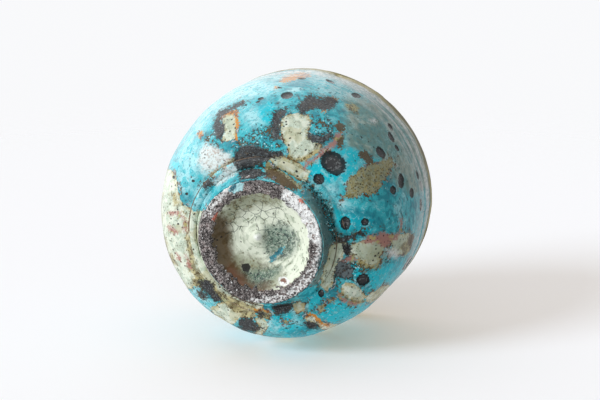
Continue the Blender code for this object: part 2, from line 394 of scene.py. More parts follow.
VIVID_OUTLINES = {
    "between_spots": [
        (306, 166), (320, 159), (328, 172), (346, 172), (352, 164), (358, 168), (352, 174), (346, 180),
        (338, 178), (330, 182), (318, 180), (308, 176),
    ],
    "right_of_spot": [(340, 150), (352, 148), (360, 152), (358, 164), (350, 168), (344, 158)],
    "below_spots": [
        (334, 206), (342, 212), (352, 216), (372, 220), (372, 230), (362, 236), (346, 238), (338, 234),
        (334, 224),
    ],
    "low_right": [
        (366, 272), (376, 270), (388, 264), (400, 260), (404, 266), (396, 276), (384, 286), (372, 290),
        (366, 284),
    ],
    "bottom_right": [
        (322, 306), (336, 302), (352, 305), (366, 304), (376, 306), (366, 314), (350, 321), (338, 324),
        (326, 321), (318, 314),
    ],
    "low_middle": [(306, 298), (316, 291), (326, 292), (328, 299), (318, 304), (310, 308)],
    "bottom": [(278, 331), (290, 322), (300, 325), (312, 331), (320, 334), (305, 342), (290, 342)],
    "root_low": [
        (262, 306), (274, 308), (281, 316), (290, 314), (294, 322), (284, 326), (276, 319), (268, 312),
    ],
    "left_streak": [(170, 161), (174, 158), (178, 166), (176, 171), (171, 169)],
    "top_right_band": [(258, 106), (268, 100), (276, 102), (274, 110), (271, 122), (262, 120), (260, 112)],
    "collar_blue": [(274, 143), (281, 143), (285, 150), (278, 151), (273, 148)],
    "root_blue": [(253, 166), (262, 163), (269, 163), (267, 169), (260, 170)],
    "run_over_ring": [(228, 191), (232, 185), (239, 182), (244, 184), (242, 190), (234, 194)],
    "well_fleck": [
        (270, 257), (274, 253), (279, 249), (284, 247), (283, 252), (278, 257), (273, 262), (270, 261),
    ],
    "blue_specks": [(352, 262), (360, 264), (366, 272), (360, 279), (352, 278), (354, 270)],
}
PALE_OUTLINES = {
    "top_left_wash": [(241, 106), (256, 108), (262, 116), (264, 124), (252, 127), (244, 121), (241, 113)],
    # Pale turquoise glaze on the left, partly a painted reflection of the light
    "left_wash": [
        (176, 176), (180, 150), (190, 130), (198, 140), (200, 160), (196, 178), (186, 196), (180, 192),
    ],
    # Pale turquoise glaze on the upper left, partly a painted reflection of the light
    "upper_left_wash_and_sheen": [
        (190, 130), (205, 108), (225, 90), (250, 78), (280, 82), (280, 92), (250, 98), (228, 104), (214, 112),
        (206, 124), (200, 134),
    ],
    "ridge_left": [
        (200, 182), (206, 174), (212, 174), (209, 188), (207, 204), (200, 211), (190, 207), (195, 190),
    ],
    "below_big_spot": [(310, 184), (320, 183), (334, 184), (338, 190), (330, 197), (318, 193)],
    "shoulder_wash": [(334, 200), (346, 200), (352, 206), (344, 210), (336, 208)],
    "top_rim_wash": [
        (310, 72), (330, 75), (350, 82), (366, 92), (372, 100), (356, 98), (340, 98), (322, 96), (312, 86),
    ],
    "upper_right_bloom": [(340, 86), (352, 85), (364, 90), (370, 97), (356, 94), (344, 92)],
    "low_left_wash": [
        (186, 290), (197, 286), (205, 294), (212, 299), (218, 305), (212, 314), (200, 308), (190, 299),
    ],
    "bottom_wash": [(262, 320), (272, 319), (280, 326), (276, 332), (264, 330)],
    "low_wash": [(284, 322), (294, 318), (302, 324), (296, 330), (286, 330)],
}
RUST_OUTLINES = {
    "crescent_lining": [
        (217, 117), (222, 115), (227, 111), (233, 109), (237, 109), (238, 114), (233, 114), (226, 115),
        (221, 119), (218, 120),
    ],
    "crescent_side": [(235, 114), (237, 113), (238, 126), (237, 139), (235, 140), (236, 128)],
    "left_edge_fleck": [(199, 131), (203, 129), (203, 134), (200, 140), (198, 136)],
    "top_streak": [
        (277, 81), (284, 76), (294, 73), (304, 71.5), (311, 73), (308, 77), (294, 79.5), (284, 82),
    ],
    "top_fleck": [(274, 87), (279, 87), (279, 89), (274, 89)],
    "cloud_end": [(329, 98), (334, 97), (339, 100), (336, 103), (331, 102)],
    "cloud_foot": [(320, 112), (325, 108), (328, 110), (324, 114)],
    "tongue_tip": [(306, 315), (312, 313), (317, 315), (317, 317), (312, 316), (306, 318)],
    "tongue_fall": [(316, 316), (322, 322), (330, 325), (329, 327), (321, 325), (315, 319)],
    "ring_fleck_left": [(212, 220), (216, 213), (220, 212), (218, 217), (214, 221)],
    "ring_fleck_right": [(297, 199), (302, 198), (305, 203), (302, 204)],
    "iron_eye_ring": [(255, 310), (262, 308), (270, 311), (268, 313), (262, 311), (257, 313)],
}
MAUVE_OUTLINES = {
    "right_cap": [
        (362, 243), (367, 238), (376, 233), (384, 232), (392, 234), (398, 233), (396, 238), (390, 243),
        (384, 247), (376, 243), (368, 244),
    ],
    "cap_drip": [(400, 219), (402, 218), (403, 225), (401, 232), (399, 231), (400, 225)],
    "well_low_left": [(226, 266), (236, 270), (246, 282), (252, 290), (240, 288), (230, 278)],
    "patch_lip": [
        (302, 168), (308, 160), (316, 156), (322, 150), (327, 146), (332, 141), (336, 134), (341, 130),
        (345, 132), (340, 138), (336, 145), (330, 150), (324, 156), (316, 161), (308, 166), (305, 171),
    ],
    "left_ring_top": [(168, 212), (175, 211), (184, 215), (186, 222), (182, 219), (175, 214), (169, 216)],
    "left_ring_side": [(183, 220), (187, 222), (186, 234), (184, 232)],
    "left_ring_low": [(168, 226), (173, 228), (178, 233), (174, 236), (168, 231)],
    "left_fleck": [(176, 252), (180, 258), (181, 263), (177, 258)],
    "root_blush": [(184, 254), (188, 256), (191, 268), (187, 266)],
    "under_strip": [(340, 262), (348, 256), (358, 259), (352, 262), (344, 265)],
    "low_patch_edge": [(338, 293), (342, 297), (350, 301), (358, 304), (352, 305), (343, 301)],
}
BLUSH_OUTLINES = {
    "bloom": [(369, 120), (374, 119), (376, 122), (371, 123)],
    # Whitish-pink glaze below the collar, partly a painted highlight
    "collar_white_and_highlight": [
        (200, 150), (206, 143), (214, 146), (222, 152), (230, 154), (229, 160), (220, 167), (211, 171),
        (202, 171), (198, 162),
    ],
    # Painted highlight along the edge of the foot's flank
    "flank_gleam": [(213, 183), (220, 174), (229, 167), (237, 164), (238, 171), (228, 178), (218, 185)],
    "cap_fringe": [(388, 251), (394, 249), (398, 253), (396, 258), (390, 257)],
}
BROWN_OUTLINES = {
    # Brown glaze on the well's left wall, darkened further as painted shade on the wall turned from the light
    "well_left_wall_shade": [
        (211, 224), (217, 214), (225, 219), (229, 232), (230, 248), (233, 261), (241, 273), (252, 284),
        (265, 291), (262, 298), (244, 294), (224, 279), (213, 261), (209, 240),
    ],
    "right_end_spot": [(408, 237), (411, 233), (414, 234), (413, 242), (410, 249), (408, 244)],
    "shoulder_speck": [(337, 140), (342, 138), (344, 144), (341, 150), (338, 148)],
    "lip_cloud": [(333, 125), (339, 122), (344, 126), (345, 132), (338, 133)],
    "shoulder_fleck_high": [
        (359, 153), (364, 150), (368, 152), (372, 156), (374, 162), (368, 165), (364, 161), (361, 158),
    ],
    "well_speck": [(263, 285), (266, 284), (268, 287), (265, 289)],
    # Brown glaze under the collar's crest, darkened as painted shade
    "collar_brown_shade": [
        (264, 168), (274, 168), (284, 174), (294, 182), (300, 190), (290, 190), (278, 184), (266, 176),
    ],
}
# Painted shade: right of the well's peak, low in the well, below the spots and on the foot's right flank
GREEN_OUTLINES = {
    "well_right_shade": [
        (266, 228), (276, 226), (288, 226), (295, 234), (297, 244), (292, 252), (284, 258), (272, 260),
        (266, 250), (265, 240),
    ],
    "well_low_shade": [
        (236, 272), (248, 270), (258, 271), (270, 268), (280, 267), (279, 273), (270, 280), (264, 288),
        (250, 288), (240, 282),
    ],
    "below_spot_shade": [(334, 222), (344, 231), (356, 229), (362, 234), (350, 238), (338, 240)],
    "flank_right_shade": [
        (312, 190), (322, 196), (334, 212), (338, 236), (334, 258), (322, 276), (316, 280), (318, 262),
        (321, 240), (318, 218), (309, 200),
    ],
}
CRUMB_OUTLINES = {
    "ring_low": [
        (318, 240), (326, 246), (322, 264), (312, 282), (296, 296), (276, 303), (252, 304), (250, 298),
        (274, 296), (292, 288), (306, 274), (314, 258),
    ],
    "ring_upper_left": [
        (203, 206), (212, 192), (222, 185), (230, 182), (236, 190), (226, 196), (216, 206), (211, 216),
        (204, 216),
    ],
}
ASH_OUTLINES = {
    "ring_right": [
        (284, 190), (296, 190), (310, 200), (322, 218), (327, 236), (322, 246), (311, 240), (304, 222),
        (294, 207), (282, 198),
    ],
}
STAIN_OUTLINES = {
    # Olive line at the foot's root: olive glaze, darkened as painted shade in the crease
    "root_line": [
        (184, 212), (186, 212), (187.5, 228), (189, 242), (193, 256), (200, 270), (211, 283), (226, 294),
        (243, 302), (255, 306), (254, 311), (239, 309), (221, 302), (206, 292), (196, 281), (189, 268),
        (186.5, 250), (185.5, 240), (185, 226),
    ],
    "left_field_top": [(170, 192), (175, 194), (179, 203), (174, 205)],
    "left_corner": [(190, 277), (198, 277), (199, 285), (193, 287)],
    "left_field_edge": [(158, 232), (164, 238), (170, 252), (178, 266), (172, 264), (163, 248)],
    "low_run": [(226, 304), (240, 306), (252, 311), (256, 317), (246, 318), (234, 312)],
    "tan_drop": [(345, 104), (352, 103), (358, 107), (359, 114), (353, 111)],
    "right_body_low": [(352, 255), (362, 260), (372, 266), (380, 262), (381, 268), (370, 271), (358, 264)],
    "right_end_side": [(400, 248), (410, 238), (413, 236), (411, 246), (404, 254)],
    "low_patch_side": [(340, 286), (345, 294), (356, 301), (364, 300), (360, 305), (346, 301), (339, 293)],
    "top_patch_low": [
        (286, 154), (296, 159), (306, 156), (312, 150), (318, 146), (318, 152), (306, 161), (292, 162),
    ],
}
BARE_OUTLINES = {
    "ring_low_left": [
        (205, 260), (212, 276), (223, 290), (240, 300), (258, 305), (258, 300), (241, 293), (226, 282),
        (216, 270), (210, 258),
    ],
}
DULL_OUTLINES = {
    # Dull teal on the foot's right side: painted shade
    "foot_right_shade": [
        (308, 190), (332, 205), (342, 222), (343, 246), (335, 262), (322, 280), (310, 284), (318, 262),
        (320, 240), (317, 220), (306, 202),
    ],
    "upper_right_wall": [
        (322, 72), (338, 84), (345, 104), (344, 126), (346, 146), (362, 152), (380, 158), (390, 174),
        (400, 188), (414, 194), (430, 188), (440, 160), (424, 118), (392, 84), (350, 66),
    ],
    # Dull teal round the right creams: painted shade over both the coat and the creams
    "right_creams_shade": [
        (352, 244), (368, 240), (386, 238), (404, 235), (412, 236), (408, 250), (394, 254), (378, 262),
        (360, 260),
    ],
    "green_eye_top": [(222, 121), (226, 114), (234, 113), (236, 120), (236, 131), (223, 132)],
}
DUSTY_OUTLINES = {
    "over_collar": [
        (231, 146), (238, 138), (252, 130), (264, 126), (272, 130), (280, 140), (284, 148), (272, 150),
        (262, 148), (250, 145), (240, 147),
    ],
    "beside_patch": [(311, 120), (322, 116), (332, 120), (334, 130), (326, 138), (314, 138), (308, 130)],
    "left_of_eye": [(204, 136), (214, 126), (216, 140), (224, 150), (212, 154), (204, 148)],
    "between_creams": [(385, 244), (391, 243), (395, 250), (394, 260), (388, 264), (384, 254)],
    # Dark specks here are dust and also painted shade on the foot's right flank
    "flank_right": [
        (300, 180), (314, 184), (326, 198), (334, 216), (337, 240), (332, 240), (326, 220), (316, 200),
        (304, 188),
    ],
    "blue_cloud_edge": [
        (336, 262), (346, 259), (362, 262), (368, 272), (372, 284), (360, 288), (350, 280), (338, 278),
    ],
}
CRACKLED_OUTLINES = {
    "well_top": [
        (222, 226), (232, 206), (252, 198), (274, 202), (286, 214), (280, 226), (262, 232), (244, 230),
        (232, 238), (224, 244),
    ],
}
OUTLINES = {
    "cream": CREAM_OUTLINES,
    "olive": OLIVE_OUTLINES,
    "iron": IRON_OUTLINES,
    "vivid": VIVID_OUTLINES,
    "pale": PALE_OUTLINES,
    "rust": RUST_OUTLINES,
    "mauve": MAUVE_OUTLINES,
    "blush": BLUSH_OUTLINES,
    "brown": BROWN_OUTLINES,
    "green": GREEN_OUTLINES,
    "dull": DULL_OUTLINES,
    "dusty": DUSTY_OUTLINES,
    "crackled": CRACKLED_OUTLINES,
    "ash": ASH_OUTLINES,
    "crumbs": CRUMB_OUTLINES,
    "stain": STAIN_OUTLINES,
    "bare": BARE_OUTLINES,
}

# Ringed iron spots in the photograph: centre, half width, half height and turn in degrees, in pixels
RINGED_SPOTS = [
    (333, 163, 13.2, 10.2, 42), (319, 179, 5.5, 5.5, 0), (345.5, 223, 5.0, 6.4, 0), (365, 222, 3.6, 3.6, 0),
    (381, 152, 3.6, 6.2, -32), (401, 181, 2.8, 7.2, -4), (393, 190, 2.8, 4.2, -8), (411.5, 193, 2.0, 4.8, -4),
    (287, 95.5, 6.0, 3.2, -8), (356, 95.5, 4.6, 2.2, 18), (330, 82, 4.6, 1.5, 24), (338, 75, 3.8, 1.2, 20),
    (302, 79, 4.2, 0.9, 3), (261, 99, 3.2, 1.3, -16), (258, 102, 2.4, 0.9, -14), (363, 279.5, 6.2, 5.6, -20),
    (321, 293, 2.8, 3.4, 0), (407, 263, 1.4, 8.0, 34), (193, 181, 1.7, 1.4, 0), (280, 88, 2.6, 0.8, 4),
    (186.5, 194, 1.6, 1.4, 0), (173, 177, 1.3, 1.6, 0), (390, 127, 1.6, 4.2, -34), (391, 137, 1.8, 5.6, -30),
    (397, 148, 1.2, 3.4, -30), (417, 175, 1.2, 4.4, -14), (421, 186, 1.1, 5.0, -10), (421, 205, 1.0, 6.0, 0),
    (283, 281, 4.2, 3.6, 10), (246, 105, 1.4, 0.8, 0), (188, 223, 1.0, 1.0, 0), (178, 224, 1.2, 1.0, 0),
]

# How far a patch's signed distance is followed, and how a seen place gives way to an unseen one
REACH_PIXELS = 12.0
REACH_MM = 5.0
SPOT_REACH = 4.0
SEEN_FROM = -0.10
SEEN_FULLY = 0.0
HALF_SEEN = 0.5
PIXELS_PER_MM = PIXELS_PER_METRE * MM

# Chance patches on the sides that the photograph does not show: count and radius range in millimetres
CHANCE_SEED = 41
CHANCE_PATCHES = {
    "cream": (13, 3.0, 6.5),
    "olive": (7, 2.5, 5.0),
    "iron": (16, 1.4, 3.4),
    "vivid": (18, 3.0, 7.0),
    "pale": (14, 3.0, 7.5),
    "rust": (14, 0.7, 1.5),
    "mauve": (9, 1.0, 2.2),
    "blush": (7, 1.0, 2.6),
    "dull": (12, 5.0, 9.0),
    "dusty": (12, 2.0, 4.0),
    "stain": (12, 1.5, 3.5),
}
NO_PATCHES = (0, 0.0, 0.0)

# Part of its face in which a chance patch may lie, and how its lobes stray, differ in size, stretch and merge
PATCH_PLACES = (0.12, 1.0)
CHANCE_LOBES = 5
LOBE_STRAY_ALONG = 0.8
LOBE_STRAY_AROUND = 0.9
LOBE_SIZE = (0.40, 0.85)
LOBE_STRETCH = (0.7, 1.3)
LOBE_MERGE = 0.9

# How fast a patch closes beyond the edge of the view, and the millimetres over which it begins to waver
CLOSING_RATE = 0.9
CLOSING_SWING = 4.0

# Ringed spots on the sides that the photograph does not show
CHANCE_SPOTS = 52
CHANCE_SPOT_RADIUS = (0.7, 2.1)
CHANCE_SPOT_STRETCH = (0.6, 1.0)


def photo_turn():
    """Turn from the bowl's axes to the photograph's right, down and forward, and the table's up."""
    rise = math.sin(AXIS_TILT) * math.sin(AXIS_DIRECTION)
    depth = math.cos(AXIS_TILT)
    elevation = math.acos(math.sin(LYING_SLOPE) / math.hypot(rise, depth)) - math.atan2(depth, rise)
    table_up = Vector((0.0, -math.cos(elevation), -math.sin(elevation)))
    to_rim = Vector((-math.sin(AXIS_TILT) * math.cos(AXIS_DIRECTION), -rise, depth))
    square_up = (table_up - to_rim * table_up.dot(to_rim)).normalized()
    seen_axes = Matrix((square_up, to_rim.cross(square_up), to_rim)).transposed()
    standing = Vector((0.0, 0.0, 1.0))
    own_axes = Matrix((PHOTO_UP_ON_BOWL, standing.cross(PHOTO_UP_ON_BOWL), standing)).transposed()
    turn = seen_axes @ own_axes.transposed()
    return turn, turn.transposed() @ table_up


def foot_in_camera():
    """The foot's centre, from the camera: right, down and forward."""
    right = (FOOT_PIXEL[0] - PHOTO_WIDTH / 2) / FOCAL_PIXELS * CAMERA_DISTANCE
    down = (FOOT_PIXEL[1] - PHOTO_HEIGHT / 2) / FOCAL_PIXELS * CAMERA_DISTANCE
    return Vector((right, down, CAMERA_DISTANCE))


PHOTO_TURN, TABLE_UP = photo_turn()
CAMERA_PLACE = -(PHOTO_TURN.transposed() @ foot_in_camera())


def to_pixels(points):
    """Pixels of the photograph at which points of the bowl appear."""
    seen = points @ np.array(PHOTO_TURN).T + np.array(foot_in_camera())
    across = PHOTO_WIDTH / 2 + FOCAL_PIXELS * seen[..., 0] / seen[..., 2]
    down = PHOTO_HEIGHT / 2 + FOCAL_PIXELS * seen[..., 1] / seen[..., 2]
    return np.stack([across, down], -1)


def smooth_between(values, low, high):
    """0 below low, 1 above high, eased between."""
    share = np.clip((values - low) / (high - low), 0.0, 1.0)
    return share * share * (3.0 - 2.0 * share)


def lean(points):
    """The belly's small shift off the axis, none at the foot or the lip."""
    share = np.clip((points[..., 2] - UNDERSIDE_HEIGHT) / (BOWL_HEIGHT - UNDERSIDE_HEIGHT), 0.0, 1.0)
    return points + np.sin(math.pi * share)[..., None] * BELLY_LEAN * np.array(PHOTO_UP_ON_BOWL)


def wander(points, wavelength, seed):
    """Soft unevenness between about -1 and 1, from waves in chance directions."""
    chance = np.random.default_rng(seed)
    total = np.zeros(points.shape[:-1])
    for _ in range(CHANCE_WAVES):
        direction = chance.normal(size=3)
        length = wavelength * np.linalg.norm(direction)
        direction *= FULL_TURN / length * chance.uniform(*CHANCE_WAVE_SPREAD)
        total += np.sin(points @ direction + chance.uniform(0.0, FULL_TURN))
    return total / math.sqrt(CHANCE_WAVES / 2.0) / 2.0


def uneven(points, waves):
    """Sum of chance waves, in metres; each has a wavelength and a height in millimetres, and a seed."""
    return sum(height * MM * wander(points, wavelength * MM, seed) for wavelength, height, seed in waves)


def length_along(points):
    """How far each point of a run lies from its first one, along it."""
    steps = np.hypot(*np.diff(points, axis=0).T)
    return np.concatenate([[0.0], np.cumsum(steps)])


def evenly(points, count):
    """The same run of points, spaced evenly along its length."""
    length = length_along(points)
    places = np.linspace(0.0, length[-1], count)
    return np.stack([np.interp(places, length, points[:, 0]), np.interp(places, length, points[:, 1])], -1)


def section_normals(points):
    """Directions square to a run of (radius, height) points, to the right of its direction."""
    along = np.gradient(points, axis=0)
    along /= np.linalg.norm(along, axis=1, keepdims=True)
    return np.stack([along[:, 1], -along[:, 0]], -1)


class Face:
    """The visible side of a skin: a grid of places, one row for each point of its profile."""

    def __init__(self, profile, steps_around):
        self.angle = np.linspace(0.0, FULL_TURN, steps_around, endpoint=False)[None, :]
        self.radius = profile[:, :1]
        self.run = length_along(profile)[:, None] / MM
        self.points = self.turned(profile)
        self.normals = self.turned(section_normals(profile))
        placed = lean(self.points)
        self.pixels = to_pixels(placed)
        towards = np.array(CAMERA_PLACE) - placed
        towards /= np.linalg.norm(towards, axis=-1, keepdims=True)
        turned_to_camera = smooth_between((towards * self.normals).sum(-1), SEEN_FROM, SEEN_FULLY)
        self.seen = np.minimum.accumulate(turned_to_camera, axis=0)

    def hide(self):
        """Treat the whole face as one that the photograph does not show."""
        self.seen = np.zeros_like(self.seen)
        self.pixels = np.full_like(self.pixels, -PHOTO_WIDTH)

    def turned(self, section):
        """A section of (radius, height) rows, turned about the bowl's axis."""
        across = section[:, :1]
        height = np.broadcast_to(section[:, 1:], (len(section), self.angle.shape[1]))
        return np.stack([across * np.cos(self.angle), across * np.sin(self.angle), height], -1)

    def offset_from(self, angle, run):
        """Distances in millimetres from a place on the face, around and along it."""
        turn = (self.angle - angle + math.pi) % FULL_TURN - math.pi
        return turn * self.radius / MM, self.run - run


def outline_distance(pixels, outline):
    """Signed distance in pixels to an outline, negative inside, followed only near it."""
    corners = np.array(outline, float)
    low = corners.min(0) - REACH_PIXELS
    high = corners.max(0) + REACH_PIXELS
    distance = np.full(pixels.shape[:-1], REACH_PIXELS)
    near = np.all((pixels > low) & (pixels < high), axis=-1)
    places = pixels[near][:, None, :]
    starts = corners[None]
    sides = np.roll(corners, -1, axis=0)[None] - starts
    towards = places - starts
    share = np.clip((towards * sides).sum(-1) / (sides * sides).sum(-1), 0.0, 1.0)
    edge = np.linalg.norm(towards - share[..., None] * sides, axis=-1).min(1)
    crosses = (starts[..., 1] > places[..., 1]) != ((starts + sides)[..., 1] > places[..., 1])
    slope = np.where(sides[..., 1] == 0.0, 1.0, sides[..., 1])
    left_of = places[..., 0] < starts[..., 0] + sides[..., 0] * (places[..., 1] - starts[..., 1]) / slope
    inside = np.count_nonzero(crosses & left_of, axis=1) % 2 == 1
    distance[near] = np.where(inside, -edge, np.minimum(edge, REACH_PIXELS))
    return distance


def seen_patches(face, kind):
    """Distance in millimetres to the nearest outlined patch of a kind."""
    distance = np.full(face.pixels.shape[:-1], REACH_PIXELS)
    for outline in OUTLINES[kind].values():
        distance = np.minimum(distance, outline_distance(face.pixels, outline))
    return distance / PIXELS_PER_MM


def carried_on(face, seen_field):
    """A seen field, in which patches at the edge of the view run on over it and close."""
    rows = np.arange(len(face.run))[:, None]
    last_seen = np.where(face.seen > HALF_SEEN, rows, 0).max(0)
    columns = np.arange(face.seen.shape[1])
    carried = seen_field[np.minimum(rows, last_seen), columns]
    past = np.cumsum((1.0 - face.seen) * np.diff(face.run, axis=0, prepend=0.0), axis=0)
    swing = uneven(face.points, PATCH_UNEVENNESS) / MM * np.minimum(past / CLOSING_SWING, 1.0)
    return np.minimum(carried + CLOSING_RATE * past + swing, REACH_MM)


def chance_patches(face, kind, chance):
    """Distance in millimetres to patches of a kind strewn over the face, each a cluster of merging lobes."""
    count, smallest, largest = CHANCE_PATCHES.get(kind, NO_PATCHES)
    distance = np.full(face.points.shape[:-1], REACH_MM)
    for _ in range(count):
        angle = chance.uniform(0.0, FULL_TURN)
        run = chance.uniform(*PATCH_PLACES) * face.run.max()
        size = chance.uniform(smallest, largest)
        nearness = np.zeros_like(distance)
        for _ in range(CHANCE_LOBES):
            around, along = face.offset_from(angle, run + chance.normal() * size * LOBE_STRAY_ALONG)
            lobe = size * chance.uniform(*LOBE_SIZE)
            around = around - chance.normal() * size * LOBE_STRAY_AROUND
            away = np.hypot(around, along * chance.uniform(*LOBE_STRETCH))
            nearness += np.exp((lobe - away) / LOBE_MERGE)
        distance = np.minimum(distance, -LOBE_MERGE * np.log(nearness + np.exp(-REACH_MM / LOBE_MERGE)))
    return np.minimum(distance + uneven(face.points, PATCH_UNEVENNESS) / MM, REACH_MM)


def seen_spots(face):
    """Distance to the nearest ringed spot, where 1 is its edge."""
    distance = np.full(face.pixels.shape[:-1], SPOT_REACH)
    for across, down, half_width, half_height, turn in RINGED_SPOTS:
        angle = math.radians(turn)
        right = face.pixels[..., 0] - across
        below = face.pixels[..., 1] - down
        wide = (right * math.cos(angle) + below * math.sin(angle)) / half_width
        tall = (below * math.cos(angle) - right * math.sin(angle)) / half_height
        distance = np.minimum(distance, np.hypot(wide, tall))
    return distance


def chance_spots(face, chance):
    """The same for ringed spots strewn over the sides that the photograph does not show."""
    distance = np.full(face.points.shape[:-1], SPOT_REACH)
    for _ in range(CHANCE_SPOTS):
        angle = chance.uniform(0.0, FULL_TURN)
        run = chance.uniform(0.0, 1.0) * face.run.max()
        around, along = face.offset_from(angle, run)
        size = chance.uniform(*CHANCE_SPOT_RADIUS)
        distance = np.minimum(distance, np.hypot(around, along * chance.uniform(*CHANCE_SPOT_STRETCH)) / size)
    return distance


def glaze_fields(face, unseen=True):
    """Distances to every kind of patch on a face: outlined where the photograph shows it, else by chance."""
    chance = np.random.default_rng(CHANCE_SEED)
    fields = {}
    for kind in OUTLINES:
        fields[kind] = seen_patches(face, kind)
        if unseen:
            strewn = chance_patches(face, kind, chance)
            closing = carried_on(face, fields[kind])
            fields[kind] = np.minimum(closing, face.seen * REACH_MM + (1.0 - face.seen) * strewn)
    fields["spot"] = seen_spots(face)
    if unseen:
        fields["spot"] = face.seen * fields["spot"] + (1.0 - face.seen) * chance_spots(face, chance)
    return fields


def joined_rows(section_radius):
    """Pairs of neighbouring rows of a closed section; rows that both lie on the axis are not joined."""
    rows = len(section_radius)
    pairs = [(row, (row + 1) % rows) for row in range(rows)]
    return [(low, high) for low, high in pairs if section_radius[low] > 0.0 or section_radius[high] > 0.0]


def add_object(name, data):
    """New object in the scene."""
    added = bpy.data.objects.new(name, data)
    bpy.context.scene.collection.objects.link(added)
    return added


def add_layer(mesh, name, values):
    """A value at every point of a mesh, for its material to read."""
    layer = mesh.attributes.new(name, "FLOAT", "POINT")
    layer.data.foreach_set("value", np.asarray(values, np.float32).ravel())


def make_skin(name, face, back, heights, fields, material):
    """Closed mesh of a face, raised square to itself by heights in metres, with its plain back side."""
    raised = face.points + face.normals * heights[..., None]
    grid = lean(np.concatenate([raised, face.turned(back)]))
    rows, around = grid.shape[:2]
    index = np.arange(rows * around).reshape(rows, around)
    quads = []
    for low, high in joined_rows(np.concatenate([face.radius[:, 0], back[:, 0]])):
        here = index[low]
        there = index[high]
        quads.append(np.stack([here, np.roll(here, -1), np.roll(there, -1), there], -1))
    mesh = bpy.data.meshes.new(name)
    mesh.from_pydata(grid.reshape(-1, 3).tolist(), [], np.concatenate(quads).tolist())
    for kind, values in fields.items():
        everywhere = np.full((rows, around), REACH_MM)
        everywhere[:len(raised)] = values
        add_layer(mesh, kind, everywhere)
    if min(face.radius.min(), back[:, 0].min()) == 0.0:
        close_poles(mesh)
    mesh.shade_smooth()
    mesh.set_sharp_from_angle(angle=SHARP_EDGE)
    mesh.materials.append(material)
    return add_object(name, mesh)


def close_poles(mesh):
    """Draw the points that a row has on the axis together into one."""
    work = bmesh.new()
    work.from_mesh(mesh)
    on_axis = [vert for vert in work.verts if math.hypot(vert.co.x, vert.co.y) < POLE_RADIUS]
    bmesh.ops.remove_doubles(work, verts=on_axis, dist=POLE_RADIUS)
    work.to_mesh(mesh)
    work.free()


DRESSED = []


def dress(piece, node):
    """Let a piece stand for a node of the frame: hide the node and hang the piece on the root body."""
    DRESSED.append(piece)
    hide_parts(node)
    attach(piece, "root")


FULL_SCREEN = 255.0


def paint(red, green, blue):
    """A colour given in the usual 0 to 255 screen values, as the linear colour that a shader takes."""
    screen = Color([value / FULL_SCREEN for value in (red, green, blue)])
    return (*screen.from_srgb_to_scene_linear(), 1.0)


# Colours of the coats and the clay
TURQUOISE = paint(58, 182, 194)
DEEP_TURQUOISE = paint(10, 112, 132)
PALE_TURQUOISE = paint(172, 226, 232)
VIVID = paint(2, 190, 208)
TEAL_GREY = paint(164, 170, 154)
DULL_TEAL = paint(104, 138, 130)
TEAL_BLACK = paint(12, 40, 42)
LAVENDER_MILK = paint(212, 214, 214)
MILK = paint(236, 240, 238)
CREAM = paint(223, 230, 213)
CELADON = paint(196, 210, 192)
CREAM_EDGE = paint(176, 164, 108)
# Cream darkened as painted shade, for creams in the dull fields
CREAM_SHADE = paint(152, 166, 140)
WELL_CELADON = paint(224, 232, 214)
WELL_SHADE = paint(158, 172, 150)
OLIVE = paint(154, 149, 108)
OLIVE_GREY = paint(144, 151, 124)
OLIVE_STAIN = paint(112, 98, 54)
OLIVE_DARK = paint(76, 60, 28)
OLIVE_RUST = paint(88, 68, 32)
IRON = paint(56, 57, 59)
IRON_BLACK = paint(20, 17, 18)
IRON_ASH = paint(104, 108, 110)
SLATE = paint(112, 126, 130)
RUST = paint(198, 130, 38)
RUST_BROWN = paint(110, 62, 40)
MAUVE = paint(168, 120, 110)
BLUSH = paint(204, 190, 180)
BROWN = paint(94, 76, 50)
GREEN_SHADE = paint(78, 114, 100)
ROOT_SHADE = paint(46, 88, 92)
CLAY_DARK = paint(38, 31, 31)
CLAY_GREY = paint(134, 127, 126)
CLAY_MAUVE = paint(122, 98, 96)
CLAY_PALE = paint(182, 176, 174)
CLAY_LIGHT = paint(240, 243, 243)
CLAY_RED = paint(206, 108, 84)
LIP_OLIVE = paint(122, 114, 78)
BODY_CLAY = paint(120, 100, 84)
BODY_CLAY_PALE = paint(150, 130, 112)

# How much of a chance mark shows: the two levels of its noise between which it comes in
RARELY = (0.60, 0.63)
SELDOM = (0.56, 0.60)
PARTLY = (0.50, 0.62)
HALFWAY = (0.44, 0.56)
MOSTLY = (0.38, 0.50)
IN_HOLLOWS = (0.46, 0.36)
FAR_APART = (0.54, 0.78)

# Share of the scattered dots and pits that shows
FEW = 0.10
SOME = 0.22
MANY = 0.45

# How strongly a colour covers what is under it
SOLID = 0.95
STRONG = 0.80
MIDDLING = 0.60
WEAK = 0.40
FAINT = 0.22

# How softly a patch ends, in millimetres, and how far its edge wobbles and frays
CRISP = 0.2
SOFT = 0.8
HAZY = 1.5
MELTING = 2.4
CALM = (0.5, 0.4)
RAGGED = (0.7, 0.9)
FLOWING = (1.2, 0.8)

# Cloudy and grainy marks of the kiln: fineness, detail and distortion
NOISE_MARKS = {
    "Drift": (80.0, 4.0, 0.8),
    "Cloud": (300.0, 4.0, 0.5),
    "Flecks": (420.0, 2.0, 1.2),
    "Grit": (860.0, 3.0, 0.6),
    "Grain": (1700.0, 2.0, 0.0),
    "Sparkle": (2900.0, 1.0, 0.0),
}

# Marks that make an edge uneven: fineness
EDGE_MARKS = {"Wobble": 240.0, "Fray": 1250.0}
EDGE_SWING = 4.0

# Scattered dots and pits: name of their draw, fineness and reach
DOT_MARKS = {"Dots": ("Dot Draw", 1150.0, 0.48), "Pits": ("Pit Draw", 520.0, 0.28)}
DOT_BEND = (900.0, 0.9 * MM)
DOT_CORE = 0.6
DRAW_SOFT = 0.03

